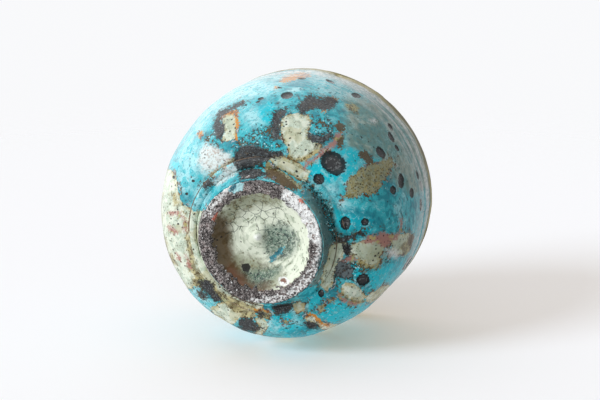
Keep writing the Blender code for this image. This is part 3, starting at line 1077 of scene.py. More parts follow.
# Cracks: fineness, fineness of their bends, and width
CRACK_MARKS = {"Crackle": (250.0, 300.0, 0.040), "Fine Crackle": (640.0, 500.0, 0.055)}
CRACK_BEND = 1.6 * MM
LINE_CORE = 0.25

# Streaks round the wall, rings in the well, and the detail of a noise
STREAK_FINENESS = (16.0, 240.0)
STREAK_DETAIL = 4.0
WELL_TURN_FINENESS = 0.9
NOISE_DETAIL = 3.0
NOISE_MIDDLE = 0.5
BEND_DETAIL = 2.0

# Sockets of Blender's mix node: its two inputs and its result, for colours and for values
MIX_COLOURS = (6, 7, 2)
MIX_VALUES = (2, 3, 0)


class NodeSheet:
    """Short calls that place and join the nodes of one shader tree."""

    def __init__(self, tree):
        self.tree = tree

    def add(self, kind, inputs=None, **settings):
        node = self.tree.nodes.new(kind)
        for name, value in settings.items():
            setattr(node, name, value)
        for name, value in (inputs or {}).items():
            self.set(node.inputs[name], value)
        return node

    def set(self, socket, value):
        if isinstance(value, bpy.types.NodeSocket):
            self.tree.links.new(value, socket)
        else:
            socket.default_value = value

    def sums(self, operation, first, second=0.0):
        return self.add("ShaderNodeMath", {0: first, 1: second}, operation=operation).outputs[0]

    def times(self, first, second):
        return self.sums("MULTIPLY", first, second)

    def between(self, value, low, high):
        """0 at low, 1 at high, eased; low may be the larger."""
        node = self.add("ShaderNodeMapRange", {"Value": value, "From Min": low, "From Max": high},
                        interpolation_type="SMOOTHSTEP")
        return node.outputs[0]

    def ranged(self, value, low, high):
        """A share from 0 to 1 spread from low to high."""
        return self.add("ShaderNodeMapRange", {"Value": value, "To Min": low, "To Max": high}).outputs[0]

    def mix(self, share, under, over):
        low, high, result = MIX_COLOURS
        return self.add("ShaderNodeMix", {0: share, low: under, high: over}, data_type="RGBA").outputs[result]

    def mix_values(self, share, under, over):
        low, high, result = MIX_VALUES
        return self.add("ShaderNodeMix", {0: share, low: under, high: over}).outputs[result]

    def vectors(self, operation, inputs):
        return self.add("ShaderNodeVectorMath", inputs, operation=operation).outputs

    def dot(self, first, second):
        return self.vectors("DOT_PRODUCT", {0: first, 1: second})["Value"]

    def noise(self, scale, detail=NOISE_DETAIL, vector=None, distortion=0.0):
        inputs = {"Scale": scale, "Detail": detail, "Distortion": distortion}
        return self.add("ShaderNodeTexNoise", {"Vector": vector or self.place(), **inputs}).outputs[0]

    def cells(self, scale, vector, feature="F1"):
        return self.add("ShaderNodeTexVoronoi", {"Vector": vector, "Scale": scale}, feature=feature).outputs

    def place(self):
        return self.add("ShaderNodeTexCoord").outputs["Object"]

    def stretched(self, across, along):
        """Place with its own scale around the bowl and along its height."""
        return self.vectors("MULTIPLY", {0: self.place(), 1: (across, across, along)})[0]

    def bent_place(self, scale, reach):
        """Place shifted by soft noise, so that straight lines become bent ones."""
        inputs = {"Vector": self.place(), "Scale": scale, "Detail": BEND_DETAIL}
        noise = self.add("ShaderNodeTexNoise", inputs).outputs["Color"]
        shift = self.vectors("SCALE", {0: noise, "Scale": reach})[0]
        return self.vectors("ADD", {0: self.place(), 1: shift})[0]

    def field(self, name):
        return self.add("ShaderNodeAttribute", attribute_name=name).outputs["Fac"]


def make_group(name, outputs):
    """Empty shader node group with named outputs."""
    group = bpy.data.node_groups.new(name, "ShaderNodeTree")
    for label in outputs:
        kind = "NodeSocketColor" if label == "Color" else "NodeSocketFloat"
        group.interface.new_socket(label, in_out="OUTPUT", socket_type=kind)
    sheet = NodeSheet(group)
    return group, sheet, sheet.add("NodeGroupOutput")


def make_firing_marks():
    """Chance marks of the kiln that every coat shares."""
    draws = [draw for draw, _, _ in DOT_MARKS.values()]
    labels = [*NOISE_MARKS, *EDGE_MARKS, *DOT_MARKS, *draws, *CRACK_MARKS, "Streaks"]
    group, sheet, end = make_group("firing_marks", labels)
    for label, (fineness, detail, distortion) in NOISE_MARKS.items():
        sheet.set(end.inputs[label], sheet.noise(fineness, detail, distortion=distortion))
    for label, fineness in EDGE_MARKS.items():
        off_middle = sheet.sums("SUBTRACT", sheet.noise(fineness), NOISE_MIDDLE)
        sheet.set(end.inputs[label], sheet.times(off_middle, EDGE_SWING))
    for label, (draw, fineness, reach) in DOT_MARKS.items():
        cells = sheet.cells(fineness, sheet.bent_place(*DOT_BEND))
        sheet.set(end.inputs[label], sheet.between(cells["Distance"], reach, reach * DOT_CORE))
        sheet.set(end.inputs[draw], sheet.add("ShaderNodeSeparateColor", {0: cells["Color"]}).outputs[0])
    for label, (fineness, bend, width) in CRACK_MARKS.items():
        cells = sheet.cells(fineness, sheet.bent_place(bend, CRACK_BEND), "DISTANCE_TO_EDGE")
        sheet.set(end.inputs[label], sheet.between(cells["Distance"], width, width * LINE_CORE))
    sheet.set(end.inputs["Streaks"], sheet.noise(1.0, STREAK_DETAIL, sheet.stretched(*STREAK_FINENESS)))
    return group


class GlazeCoat:
    """Colour of a coat, laid on kind by kind over its ground."""

    def __init__(self, sheet, marks):
        self.sheet = sheet
        self.mark = sheet.add("ShaderNodeGroup", node_tree=marks).outputs
        self.colour = None

    def apart(self, colour):
        """A coat of another ground, with the same marks, to be laid over this one."""
        other = copy.copy(self)
        other.colour = colour
        return other

    def edge(self, kind, roughly):
        """Distance in millimetres to a kind of patch, with an uneven edge."""
        wobbling, fraying = roughly
        wobble = self.sheet.times(self.mark["Wobble"], wobbling)
        fray = self.sheet.times(self.mark["Fray"], fraying)
        return self.sheet.sums("ADD", self.sheet.field(kind), self.sheet.sums("ADD", wobble, fray))

    def patch(self, kind, soft, roughly=CALM, grown=0.0):
        """Share covered by a kind of patch, grown by some millimetres."""
        return self.sheet.between(self.edge(kind, roughly), grown + soft, grown - soft)

    def outline(self, kind, away, width, roughly=CALM):
        """A line along the edge of a kind of patch, some millimetres away from it."""
        off_line = self.sheet.sums("SUBTRACT", self.edge(kind, roughly), away)
        return self.sheet.between(self.sheet.sums("ABSOLUTE", off_line), width, width * LINE_CORE)

    def near(self, kinds, reach):
        """1 at patches of these kinds, fading to 0 at a reach from them."""
        nearest = self.sheet.field(kinds[0])
        for kind in kinds[1:]:
            nearest = self.sheet.sums("MINIMUM", nearest, self.sheet.field(kind))
        return self.sheet.between(nearest, reach, 0.0)

    def dots(self, density, label="Dots", draw="Dot Draw"):
        """Chance dots, of which the share given by density shows."""
        over = self.sheet.sums("SUBTRACT", self.mark[draw], density)
        return self.sheet.times(self.mark[label], self.sheet.between(over, DRAW_SOFT, -DRAW_SOFT))

    def pits(self, density):
        return self.dots(density, "Pits", "Pit Draw")

    def where(self, levels, label="Cloud"):
        """Share of a chance mark that shows between two levels of its noise."""
        return self.sheet.between(self.mark[label], *levels)

    def lay(self, colour, *shares, strength=SOLID):
        """Cover the coat with a colour where all the shares say so."""
        cover = strength
        for share in shares:
            cover = self.sheet.times(share, cover)
        self.colour = self.sheet.mix(cover, self.colour, colour)

    def blend(self, under, over, levels, label="Cloud"):
        return self.sheet.mix(self.where(levels, label), under, over)


def lay_turquoise(coat):
    """Ground of the coat: turquoise that drifts paler and deeper, with dull, milky and vivid fields.
    Some dull fields are painted shade, the milky fields on the upper left are partly a painted reflection,
    and dark green painted shade lies by the foot's root and below the spots.
    """
    coat.colour = coat.blend(TURQUOISE, PALE_TURQUOISE, FAR_APART, "Drift")
    coat.lay(DEEP_TURQUOISE, coat.where(IN_HOLLOWS, "Drift"), strength=MIDDLING)
    coat.lay(DEEP_TURQUOISE, coat.where(PARTLY), strength=MIDDLING)
    # Dull fields: grey teal glaze, and painted shade on the foot's right side and round the right creams
    dull = coat.patch("dull", MELTING, FLOWING)
    coat.lay(coat.blend(TEAL_GREY, DULL_TEAL, HALFWAY, "Drift"), dull, strength=STRONG)
    coat.lay(DULL_TEAL, dull, coat.where(PARTLY), strength=MIDDLING)
    # Milky fields: pale glaze, and on the upper left a painted reflection
    pale = coat.patch("pale", MELTING, FLOWING)
    coat.lay(coat.blend(TURQUOISE, PALE_TURQUOISE, MOSTLY), pale, strength=STRONG)
    coat.lay(VIVID, pale, coat.where(RARELY, "Flecks"), strength=MIDDLING)
    coat.lay(PALE_TURQUOISE, coat.where(IN_HOLLOWS), coat.where(HALFWAY, "Grain"), strength=WEAK)
    coat.lay(DEEP_TURQUOISE, coat.where(IN_HOLLOWS, "Grit"), strength=WEAK)
    vivid = coat.patch("vivid", SOFT, FLOWING)
    coat.lay(coat.blend(VIVID, TURQUOISE, SELDOM), vivid)
    coat.lay(DEEP_TURQUOISE, vivid, coat.where(IN_HOLLOWS, "Drift"), strength=WEAK)
    coat.lay(PALE_TURQUOISE, vivid, coat.where(RARELY, "Grit"), strength=WEAK)
    # Painted shade beside the foot's root and below the spots
    coat.lay(ROOT_SHADE, coat.patch("green", MELTING, FLOWING), strength=STRONG)


def lay_specks(coat):
    """Dark specks, olive-brown blots and milky crumbs that gather beside the patches."""
    kinds = ("iron", "olive", "cream", "mauve")
    beside = coat.near(kinds, SPECK_REACH)
    thick = coat.sheet.times(beside, coat.where(HALFWAY))
    coat.lay(PALE_TURQUOISE, coat.dots(coat.sheet.times(beside, FEW)), strength=MIDDLING)
    coat.lay(TEAL_BLACK, coat.pits(coat.sheet.times(coat.where(HALFWAY, "Drift"), MANY)), strength=STRONG)
    coat.lay(TEAL_BLACK, coat.dots(coat.sheet.times(beside, SOME)), coat.where(HALFWAY), strength=STRONG)
    coat.lay(TEAL_BLACK, thick, coat.where(SELDOM, "Flecks"), strength=STRONG)
    coat.lay(OLIVE_RUST, thick, coat.where(RARELY, "Flecks"))
    blots = coat.sheet.times(coat.near(kinds, BLOT_REACH), coat.where(SELDOM))
    coat.lay(TEAL_BLACK, blots, coat.where(PARTLY, "Grit"), strength=STRONG)
    coat.lay(OLIVE_RUST, blots, coat.where(HALFWAY, "Flecks"), strength=STRONG)


def lay_dust(coat):
    """Dusty clouds of black specks, rusty flecks and milky crumbs."""
    dusty = coat.patch("dusty", SOFT, FLOWING)
    coat.lay(TEAL_BLACK, dusty, coat.where(HALFWAY, "Flecks"), coat.where(MOSTLY, "Grit"))
    coat.lay(IRON_BLACK, dusty, coat.where(PARTLY, "Grit"), strength=STRONG)
    coat.lay(OLIVE_RUST, dusty, coat.where(RARELY, "Flecks"))
    coat.lay(VIVID, dusty, coat.where(RARELY, "Grain"), strength=STRONG)
    coat.lay(PALE_TURQUOISE, dusty, coat.dots(FEW), strength=STRONG)


def lay_olive(coat):
    """Dull olive patches with a dark broken outline."""
    milky_line = coat.outline("olive", MILKY_LINE_AWAY, LINE_WIDTH)
    coat.lay(LAVENDER_MILK, milky_line, coat.where(SELDOM), strength=WEAK)
    coat.lay(OLIVE_RUST, coat.patch("olive", SOFT, FLOWING, SOFT), coat.where(SELDOM, "Flecks"))
    coat.lay(RUST_BROWN, coat.outline("olive", 0.0, LINE_WIDTH, RAGGED), coat.where(HALFWAY))
    olive = coat.apart(coat.blend(OLIVE, OLIVE_GREY, PARTLY))
    olive.lay(CREAM_EDGE, coat.where(PARTLY, "Flecks"), strength=MIDDLING)
    for mottle in ("Cloud", "Grit"):
        olive.lay(OLIVE_STAIN, coat.where(IN_HOLLOWS, mottle), strength=MIDDLING)
    olive.lay(TEAL_GREY, coat.where(SELDOM, "Grit"), strength=MIDDLING)
    olive.lay(OLIVE_DARK, coat.dots(MANY), strength=STRONG)
    olive.lay(IRON_BLACK, coat.pits(SOME), strength=STRONG)
    coat.lay(olive.colour, coat.patch("olive", CRISP, RAGGED, -CRISP))


def lay_cream(coat):
    """Cream patches: broken milky, dark and rusty lines, yellowish edge, fine crackle and black pinholes."""
    fringe = coat.patch("cream", SOFT, FLOWING, YELLOW_EDGE)
    coat.lay(OLIVE_STAIN, fringe, coat.where(HALFWAY, "Flecks"), strength=MIDDLING)
    milky_line = coat.outline("cream", MILKY_LINE_AWAY, LINE_WIDTH)
    coat.lay(LAVENDER_MILK, milky_line, coat.where(SELDOM), strength=MIDDLING)
    dark_line = coat.outline("cream", DARK_LINE_AWAY, LINE_WIDTH, RAGGED)
    coat.lay(TEAL_BLACK, dark_line, coat.where(PARTLY), strength=STRONG)
    coat.lay(RUST_BROWN, coat.outline("cream", 0.0, LINE_WIDTH), coat.where(HALFWAY, "Flecks"))
    cream = coat.apart(coat.blend(CREAM, CELADON, HALFWAY))
    edge = coat.patch("cream", SOFT, FLOWING, -YELLOW_EDGE)
    yellow = coat.sheet.sums("SUBTRACT", 1.0, edge)
    cream.lay(CREAM_EDGE, coat.where(SELDOM, "Drift"), strength=WEAK)
    cream.lay(CREAM_EDGE, yellow, coat.where(MOSTLY, "Flecks"), strength=STRONG)
    # Creams in the dull fields darkened as painted shade
    cream.lay(CREAM_SHADE, coat.patch("dull", MELTING, FLOWING), strength=MIDDLING)
    cream.lay(OLIVE_DARK, coat.mark["Fine Crackle"], coat.where(PARTLY), strength=WEAK)
    cream.lay(CREAM_EDGE, coat.where(IN_HOLLOWS, "Grain"), strength=FAINT)
    cream.lay(OLIVE_DARK, coat.dots(coat.sheet.times(coat.where(PARTLY), MANY)), strength=MIDDLING)
    cream.lay(IRON_BLACK, coat.pits(MANY))
    coat.lay(cream.colour, coat.patch("cream", CRISP))


def lay_blushes(coat):
    """Olive stains, rust, mauve, brown and pinkish milk where the coat ran thin.
    The pinkish milk is in part a painted highlight on the collar and the foot's flank, and the brown
    under the collar's crest and the olive line at the foot's root are in part painted shade.
    """
    stained = coat.patch("stain", SOFT, FLOWING)
    coat.lay(coat.blend(CREAM_EDGE, OLIVE_STAIN, HALFWAY), stained, strength=STRONG)
    coat.lay(OLIVE_DARK, stained, coat.where(SELDOM, "Grit"), strength=STRONG)
    coat.lay(coat.blend(MAUVE, CREAM_EDGE, SELDOM), coat.patch("mauve", SOFT, RAGGED))
    coat.lay(IRON_BLACK, coat.patch("mauve", SOFT), coat.dots(SOME), strength=STRONG)
    # Pinkish milk, in part a painted highlight on the collar and the foot's flank
    blush = coat.patch("blush", HAZY, RAGGED)
    coat.lay(coat.blend(MILK, BLUSH, PARTLY, "Grit"), blush, strength=STRONG)
    coat.lay(IRON_BLACK, blush, coat.dots(SOME), strength=STRONG)
    coat.lay(coat.blend(BROWN, OLIVE_DARK, HALFWAY, "Grain"), coat.patch("brown", CRISP, RAGGED))
    coat.lay(coat.blend(RUST, RUST_BROWN, PARTLY), coat.patch("rust", CRISP, RAGGED))


def lay_iron(coat):
    """Dry charcoal iron patches that break up into grains at their edges, slaty where they are dusty: slate
    colour and a painted sheen, with pale dots as painted glints.
    """
    rusty_line = coat.outline("iron", LINE_WIDTH, LINE_WIDTH, RAGGED)
    coat.lay(OLIVE_RUST, rusty_line, coat.where(SELDOM), strength=STRONG)
    fringe = coat.patch("iron", SOFT, FLOWING, SOFT)
    coat.lay(TEAL_BLACK, fringe, coat.where(HALFWAY, "Grit"), strength=MIDDLING)
    iron = coat.apart(coat.blend(IRON, IRON_BLACK, PARTLY, "Grit"))
    iron.lay(IRON_ASH, coat.where(PARTLY, "Flecks"), coat.where(HALFWAY, "Grain"), strength=STRONG)
    iron.lay(SLATE, coat.where(RARELY, "Grain"), strength=STRONG)
    iron.lay(OLIVE_DARK, coat.where(RARELY, "Flecks"), strength=MIDDLING)
    iron.lay(IRON_BLACK, coat.dots(MANY), strength=MIDDLING)
    coat.lay(IRON_BLACK, coat.patch("iron", CRISP, RAGGED, CRISP), strength=STRONG)
    coat.lay(iron.colour, coat.patch("iron", CRISP, RAGGED, -CRISP))
    # Slate on dusty iron: slate colour and a painted sheen; the pale dots are painted glints
    dusty = coat.patch("dusty", SOFT, FLOWING)
    slate_and_sheen = coat.sheet.times(dusty, coat.patch("iron", CRISP, RAGGED))
    coat.lay(SLATE, slate_and_sheen, coat.where(HALFWAY, "Grit"), strength=STRONG)
    coat.lay(PALE_TURQUOISE, dusty, coat.dots(FEW), strength=STRONG)


def lay_spots(coat):
    """Ringed iron drops: pale halo, black ring, grey flecked middle."""
    sheet = coat.sheet
    spot = sheet.sums("ADD", sheet.field("spot"), sheet.times(coat.mark["Fray"], SPOT_FRAY))
    halo = sheet.times(sheet.between(spot, *SPOT_HALO_OUTSIDE), sheet.between(spot, *SPOT_HALO_INSIDE))
    coat.lay(PALE_TURQUOISE, halo, coat.where(PARTLY), strength=WEAK)
    coat.lay(IRON_BLACK, sheet.between(spot, *SPOT_RING))
    coat.lay(coat.blend(IRON, IRON_ASH, SELDOM, "Grit"), sheet.between(spot, *SPOT_MIDDLE))


def lay_lip_line(coat):
    """Milky streaks below the lip, and olive brown where the coat thins towards it."""
    sheet = coat.sheet
    height = sheet.add("ShaderNodeSeparateXYZ", {0: sheet.place()}).outputs["Z"]
    ragged = sheet.sums("ADD", height, sheet.times(coat.mark["Wobble"], LIP_WOBBLE))
    below_lip = sheet.between(ragged, WALL_TOP - LIP_MILK_HEIGHT, WALL_TOP)
    coat.lay(LAVENDER_MILK, below_lip, coat.where(HALFWAY, "Streaks"), strength=MIDDLING)
    coat.lay(MILK, below_lip, coat.where(HALFWAY, "Streaks"), coat.where(HALFWAY, "Flecks"), strength=STRONG)
    thinning = sheet.between(ragged, WALL_TOP - LIP_LINE_LOW, WALL_TOP - LIP_LINE_HIGH)
    coat.lay(coat.blend(LIP_OLIVE, CREAM_EDGE, HALFWAY, "Streaks"), thinning)


def lay_bare_clay(coat):
    """Dark clay where the coat stops short of the foot ring."""
    coat.lay(coat.blend(CLAY_DARK, CLAY_GREY, HALFWAY, "Grain"), coat.patch("bare", CRISP, RAGGED))


def make_runny_glaze(marks):
    """Colour, roughness and relief of the runny coat, from the patch fields that the skins carry."""
    group, sheet, end = make_group("runny_glaze", ("Color", "Roughness", "Height"))
    coat = GlazeCoat(sheet, marks)
    for lay in (lay_turquoise, lay_specks, lay_olive, lay_cream, lay_dust, lay_blushes, lay_iron, lay_spots,
                lay_lip_line, lay_bare_clay):
        lay(coat)
    sheet.set(end.inputs["Color"], coat.colour)
    iron_share = coat.patch("iron", CRISP, RAGGED)
    pin_holes = sheet.times(coat.pits(MANY), coat.patch("cream", CRISP))
    dry = sheet.sums("MAXIMUM", iron_share, pin_holes)
    sheet.set(end.inputs["Roughness"], sheet.ranged(dry, GLAZE_ROUGHNESS, IRON_ROUGHNESS))
    grit = sheet.times(coat.mark["Sparkle"], sheet.ranged(iron_share, *GRIT_HEIGHT))
    raised = sheet.sums("ADD", grit, sheet.times(coat.mark["Cloud"], CLOUD_HEIGHT))
    sheet.set(end.inputs["Height"], sheet.sums("SUBTRACT", raised, pin_holes))
    return group


def new_material(name):
    """Node material with its sheet and its surface shader."""
    material = bpy.data.materials.new(name)
    material.use_nodes = True
    sheet = NodeSheet(material.node_tree)
    return material, sheet, material.node_tree.nodes["Principled BSDF"]


def finish_surface(sheet, surface, colour, roughness, height, depth):
    """Join colour and roughness to a surface shader, and let a height drive its normal."""
    sheet.set(surface.inputs["Base Color"], colour)
    sheet.set(surface.inputs["Roughness"], roughness)
    relief = sheet.add("ShaderNodeBump", {"Height": height, "Distance": depth, "Strength": 1.0})
    sheet.set(surface.inputs["Normal"], relief.outputs[0])


def make_coat(name, glaze):
    """Material of a skin in the runny glaze."""
    material, sheet, surface = new_material(name)
    coat = sheet.add("ShaderNodeGroup", node_tree=glaze).outputs
    finish_surface(sheet, surface, coat["Color"], coat["Roughness"], coat["Height"], GLAZE_GRAIN_DEPTH)
    surface.inputs["IOR"].default_value = GLAZE_IOR
    return material


def make_well_coat(marks):
    """Crackled celadon pool of the foot well, turned in faint rings round its pale peak, with painted shade
    on its walls and floor and a painted highlight on the peak.
    """
    material, sheet, surface = new_material("well_celadon")
    coat = GlazeCoat(sheet, marks)
    coat.colour = coat.blend(WELL_CELADON, CREAM, PARTLY, "Drift")
    coat.lay(WELL_SHADE, coat.where(PARTLY), strength=WEAK)
    turn = sheet.sums("ADD", sheet.field("peak"), sheet.times(coat.mark["Wobble"], SOFT))
    inputs = {"W": turn, "Scale": WELL_TURN_FINENESS, "Detail": NOISE_DETAIL}
    rings = sheet.add("ShaderNodeTexNoise", inputs, noise_dimensions="1D")
    broken = sheet.times(sheet.between(rings.outputs[0], *PARTLY), coat.where(HALFWAY))
    coat.lay(WELL_SHADE, broken, strength=STRONG)
    coat.lay(OLIVE_DARK, broken, coat.dots(MANY), strength=MIDDLING)
    # Painted shade on the well's upper wall and low floor, laid in olive-grey with flecks
    shaded = coat.patch("olive", MELTING, FLOWING)
    coat.lay(OLIVE_GREY, shaded, strength=STRONG)
    coat.lay(WELL_CELADON, shaded, coat.where(RARELY, "Flecks"), strength=MIDDLING)
    coat.lay(OLIVE_STAIN, shaded, coat.where(HALFWAY), coat.where(HALFWAY, "Grit"), strength=MIDDLING)
    coat.lay(OLIVE_DARK, shaded, coat.where(SELDOM, "Flecks"), strength=MIDDLING)
    # Dark green-grey painted shade right of the peak and low in the well, with dark crackle and flecks in it
    green = coat.patch("green", MELTING, FLOWING)
    coat.lay(GREEN_SHADE, green, strength=STRONG)
    coat.lay(TEAL_BLACK, green, coat.where(PARTLY), strength=WEAK)
    coat.lay(TEAL_BLACK, green, coat.mark["Fine Crackle"], coat.where(MOSTLY, "Drift"), strength=STRONG)
    coat.lay(TEAL_BLACK, green, coat.where(SELDOM, "Flecks"), strength=STRONG)
    coat.lay(WELL_CELADON, green, coat.where(SELDOM, "Grain"), strength=WEAK)
    # Brown in the well: brown glaze on its left wall, with painted shade there
    brown = coat.patch("brown", MELTING, CALM, SOFT)
    coat.lay(BROWN, brown)
    coat.lay(OLIVE_DARK, brown, coat.where(PARTLY), strength=MIDDLING)
    coat.lay(RUST_BROWN, coat.patch("mauve", MELTING, FLOWING), strength=MIDDLING)
    crackled = sheet.times(coat.patch("crackled", MELTING, FLOWING), coat.where(MOSTLY, "Drift"))
    coat.lay(TEAL_BLACK, coat.mark["Crackle"], crackled, strength=STRONG)
    coat.lay(OLIVE_DARK, coat.dots(sheet.times(coat.where(PARTLY), MANY)), strength=MIDDLING)
    # Milky tip of the peak, partly a painted highlight
    coat.lay(MILK, sheet.between(turn, *PEAK_MILK_AND_HIGHLIGHT), strength=STRONG)
    coat.lay(coat.blend(VIVID, DEEP_TURQUOISE, MOSTLY), coat.patch("vivid", CRISP, RAGGED), strength=STRONG)
    coat.lay(coat.blend(IRON_BLACK, IRON, HALFWAY), coat.patch("iron", CRISP))
    coat.lay(IRON_BLACK, coat.pits(FEW), strength=STRONG)
    coat.lay(RUST_BROWN, sheet.between(sheet.field("rim"), *RUSTY_RIM), coat.where(PARTLY), strength=STRONG)
    spot = sheet.sums("ADD", sheet.field("spot"), sheet.times(coat.mark["Wobble"], WELL_SPOT_WOBBLE))
    coat.lay(MILK, sheet.between(spot, *WELL_SPOT_HALO), coat.where(MOSTLY, "Grit"))
    coat.lay(coat.blend(RUST_BROWN, MILK, PARTLY, "Grit"), sheet.between(spot, *WELL_SPOT_MIDDLE))
    finish_surface(sheet, surface, coat.colour, WELL_ROUGHNESS, coat.mark["Cloud"], WELL_GRAIN_DEPTH)
    return material


def make_foot_clay(marks):
    """Bare coarse clay of the foot ring, dark with silvery grains and a run of pale ash on one side, with
    painted shade at its right edge.
    """
    material, sheet, surface = new_material("coarse_clay")
    coat = GlazeCoat(sheet, marks)
    coat.colour = coat.blend(CLAY_DARK, CLAY_GREY, PARTLY, "Grain")
    coat.lay(CLAY_MAUVE, coat.where(PARTLY), strength=WEAK)
    coat.lay(CLAY_PALE, coat.where(PARTLY, "Grit"), coat.where(SELDOM, "Grain"), strength=STRONG)
    coat.lay(CLAY_PALE, coat.where(HALFWAY), coat.where(HALFWAY, "Grain"), strength=MIDDLING)
    coat.lay(CLAY_DARK, coat.where(PARTLY, "Drift"), coat.where(MOSTLY, "Flecks"), strength=STRONG)
    coat.lay(CLAY_PALE, coat.where(RARELY, "Sparkle"), strength=MIDDLING)
    coat.lay(CLAY_LIGHT, coat.dots(FEW), strength=STRONG)
    coat.lay(IRON_BLACK, coat.where(IN_HOLLOWS, "Flecks"), coat.where(HALFWAY, "Grit"), strength=MIDDLING)
    coat.lay(IRON_BLACK, coat.pits(MANY))
    crumbs = coat.patch("crumbs", SOFT, RAGGED)
    coat.lay(CLAY_LIGHT, crumbs, coat.where(HALFWAY, "Grit"), strength=STRONG)
    ash = coat.patch("ash", SOFT, RAGGED)
    coat.lay(CLAY_LIGHT, ash, strength=STRONG)
    coat.lay(CLAY_LIGHT, ash, coat.where(MOSTLY, "Grit"), strength=STRONG)
    coat.lay(CLAY_LIGHT, ash, coat.where(MOSTLY, "Sparkle"))
    coat.lay(RUST_BROWN, ash, coat.where(RARELY, "Flecks"), coat.where(HALFWAY, "Grit"), strength=STRONG)
    coat.lay(CLAY_GREY, ash, coat.where(SELDOM, "Grit"), strength=MIDDLING)
    coat.lay(IRON_BLACK, ash, coat.pits(SOME))
    # Painted shade on the ring's right edge, beside the shaded flank
    coat.lay(ROOT_SHADE, coat.patch("green", SOFT, RAGGED), strength=STRONG)
    coat.lay(CLAY_RED, coat.patch("rust", CRISP), strength=STRONG)
    coat.lay(coat.blend(DEEP_TURQUOISE, PALE_TURQUOISE, HALFWAY), coat.patch("vivid", CRISP), strength=STRONG)
    raised = sheet.sums("SUBTRACT", coat.mark["Grit"], coat.pits(MANY))
    finish_surface(sheet, surface, coat.colour, CLAY_ROUGHNESS, raised, CLAY_GRAIN_DEPTH)
    return material


def make_lip_coat(marks):
    """Thin olive band where the coats run off the lip."""
    material, sheet, surface = new_material("lip_olive")
    coat = GlazeCoat(sheet, marks)
    coat.colour = coat.blend(LIP_OLIVE, OLIVE, HALFWAY)
    coat.lay(OLIVE_DARK, coat.where(PARTLY, "Streaks"), strength=MIDDLING)
    coat.lay(IRON_BLACK, coat.dots(FEW), strength=MIDDLING)
    finish_surface(sheet, surface, coat.colour, IRON_ROUGHNESS, coat.mark["Grain"], LIP_GRAIN_DEPTH)
    return material


def make_body_clay(marks):
    """Fired clay under the coats."""
    material, sheet, surface = new_material("body_clay")
    coat = GlazeCoat(sheet, marks)
    coat.colour = coat.blend(BODY_CLAY, BODY_CLAY_PALE, HALFWAY, "Grain")
    finish_surface(sheet, surface, coat.colour, BODY_ROUGHNESS, coat.mark["Grain"], WELL_GRAIN_DEPTH)
    return material


def rounded_wall(root_radius, wall_radius, floor_height, start_radius):
    """Full, round wall from near the floor, at start_radius, up to the lip."""
    power = 2.0 / BELLY_FULLNESS
    first_angle = math.acos(((start_radius - root_radius) / (wall_radius - root_radius)) ** (1.0 / power))
    angle = first_angle * (1.0 - np.linspace(0.0, 1.0, WALL_POINTS) ** WALL_CROWDING)
    radius = root_radius + (wall_radius - root_radius) * np.cos(angle) ** power
    height = WALL_TOP - (WALL_TOP - floor_height) * np.sin(angle) ** power
    flare = np.maximum(0.0, 1.0 - (WALL_TOP - height) / FLARE_HEIGHT)
    return np.stack([radius + RIM_FLARE * flare ** 2, height], -1)


def inset(profile, depth):
    """A profile shifted inwards, away from its visible side."""
    return profile - section_normals(profile) * depth


def back_of(profile, depth):
    """Plain back side of a skin, from the profile's far end to its near end."""
    return evenly(inset(profile, depth), BACK_ROWS)[::-1]


def belly_profile():
    """Outside of the bowl from under the collar up to the lip."""
    start_radius = COLLAR_OUTER_RADIUS - COLLAR_TUCK
    wall_radius = RIM_RADIUS - RIM_FLARE
    wall = rounded_wall(COLLAR_INNER_RADIUS, wall_radius, UNDERSIDE_HEIGHT, start_radius)
    return evenly(wall, BELLY_ROWS)


def hollow_profile():
    """Inside of the bowl from the lip down to the middle of the tea pool."""
    wall_radius = RIM_RADIUS - RIM_FLARE - WALL_THICKNESS
    wall = rounded_wall(TEA_POOL_RADIUS, wall_radius, UNDERSIDE_HEIGHT + FLOOR_THICKNESS, TEA_POOL_RADIUS)
    pool_radius = np.linspace(0.0, TEA_POOL_RADIUS, WALL_POINTS)[:-1]
    pool_height = wall[0, 1] - TEA_POOL_DIP * (1.0 - (pool_radius / TEA_POOL_RADIUS) ** 2)
    return evenly(np.concatenate([np.stack([pool_radius, pool_height], -1), wall])[::-1], HOLLOW_ROWS)


def lip_profile():
    """Half round over the lip, from its outer to its inner foot."""
    half_width = WALL_THICKNESS / 2
    angle = np.linspace(0.0, math.pi, WALL_POINTS)
    radius = RIM_RADIUS - half_width + half_width * np.cos(angle)
    height = BOWL_HEIGHT - LIP_CROWN + LIP_CROWN * np.sin(angle)
    outer_foot = (RIM_RADIUS, WALL_TOP - LIP_TUCK)
    inner_foot = (RIM_RADIUS - WALL_THICKNESS, WALL_TOP - LIP_TUCK)
    return evenly(np.vstack([outer_foot, np.stack([radius, height], -1), inner_foot]), LIP_ROWS)


def collar_profile():
    """Rounded coil from the foot's root out to the belly."""
    share = np.linspace(0.0, 1.0, WALL_POINTS)
    inner_height = FOOT_HEIGHT + ROOT_GROOVE
    outer_height = UNDERSIDE_HEIGHT + SEAT_GAP
    radius = COLLAR_INNER_RADIUS + (COLLAR_OUTER_RADIUS - COLLAR_INNER_RADIUS) * share
    crown = (inner_height + outer_height) / 2 - COLLAR_CREST
    bulge = crown * np.sin(math.pi * share) ** COLLAR_ROUNDNESS
    height = inner_height + (outer_height - inner_height) * share - bulge
    return evenly(np.stack([radius, height], -1), COLLAR_ROWS)


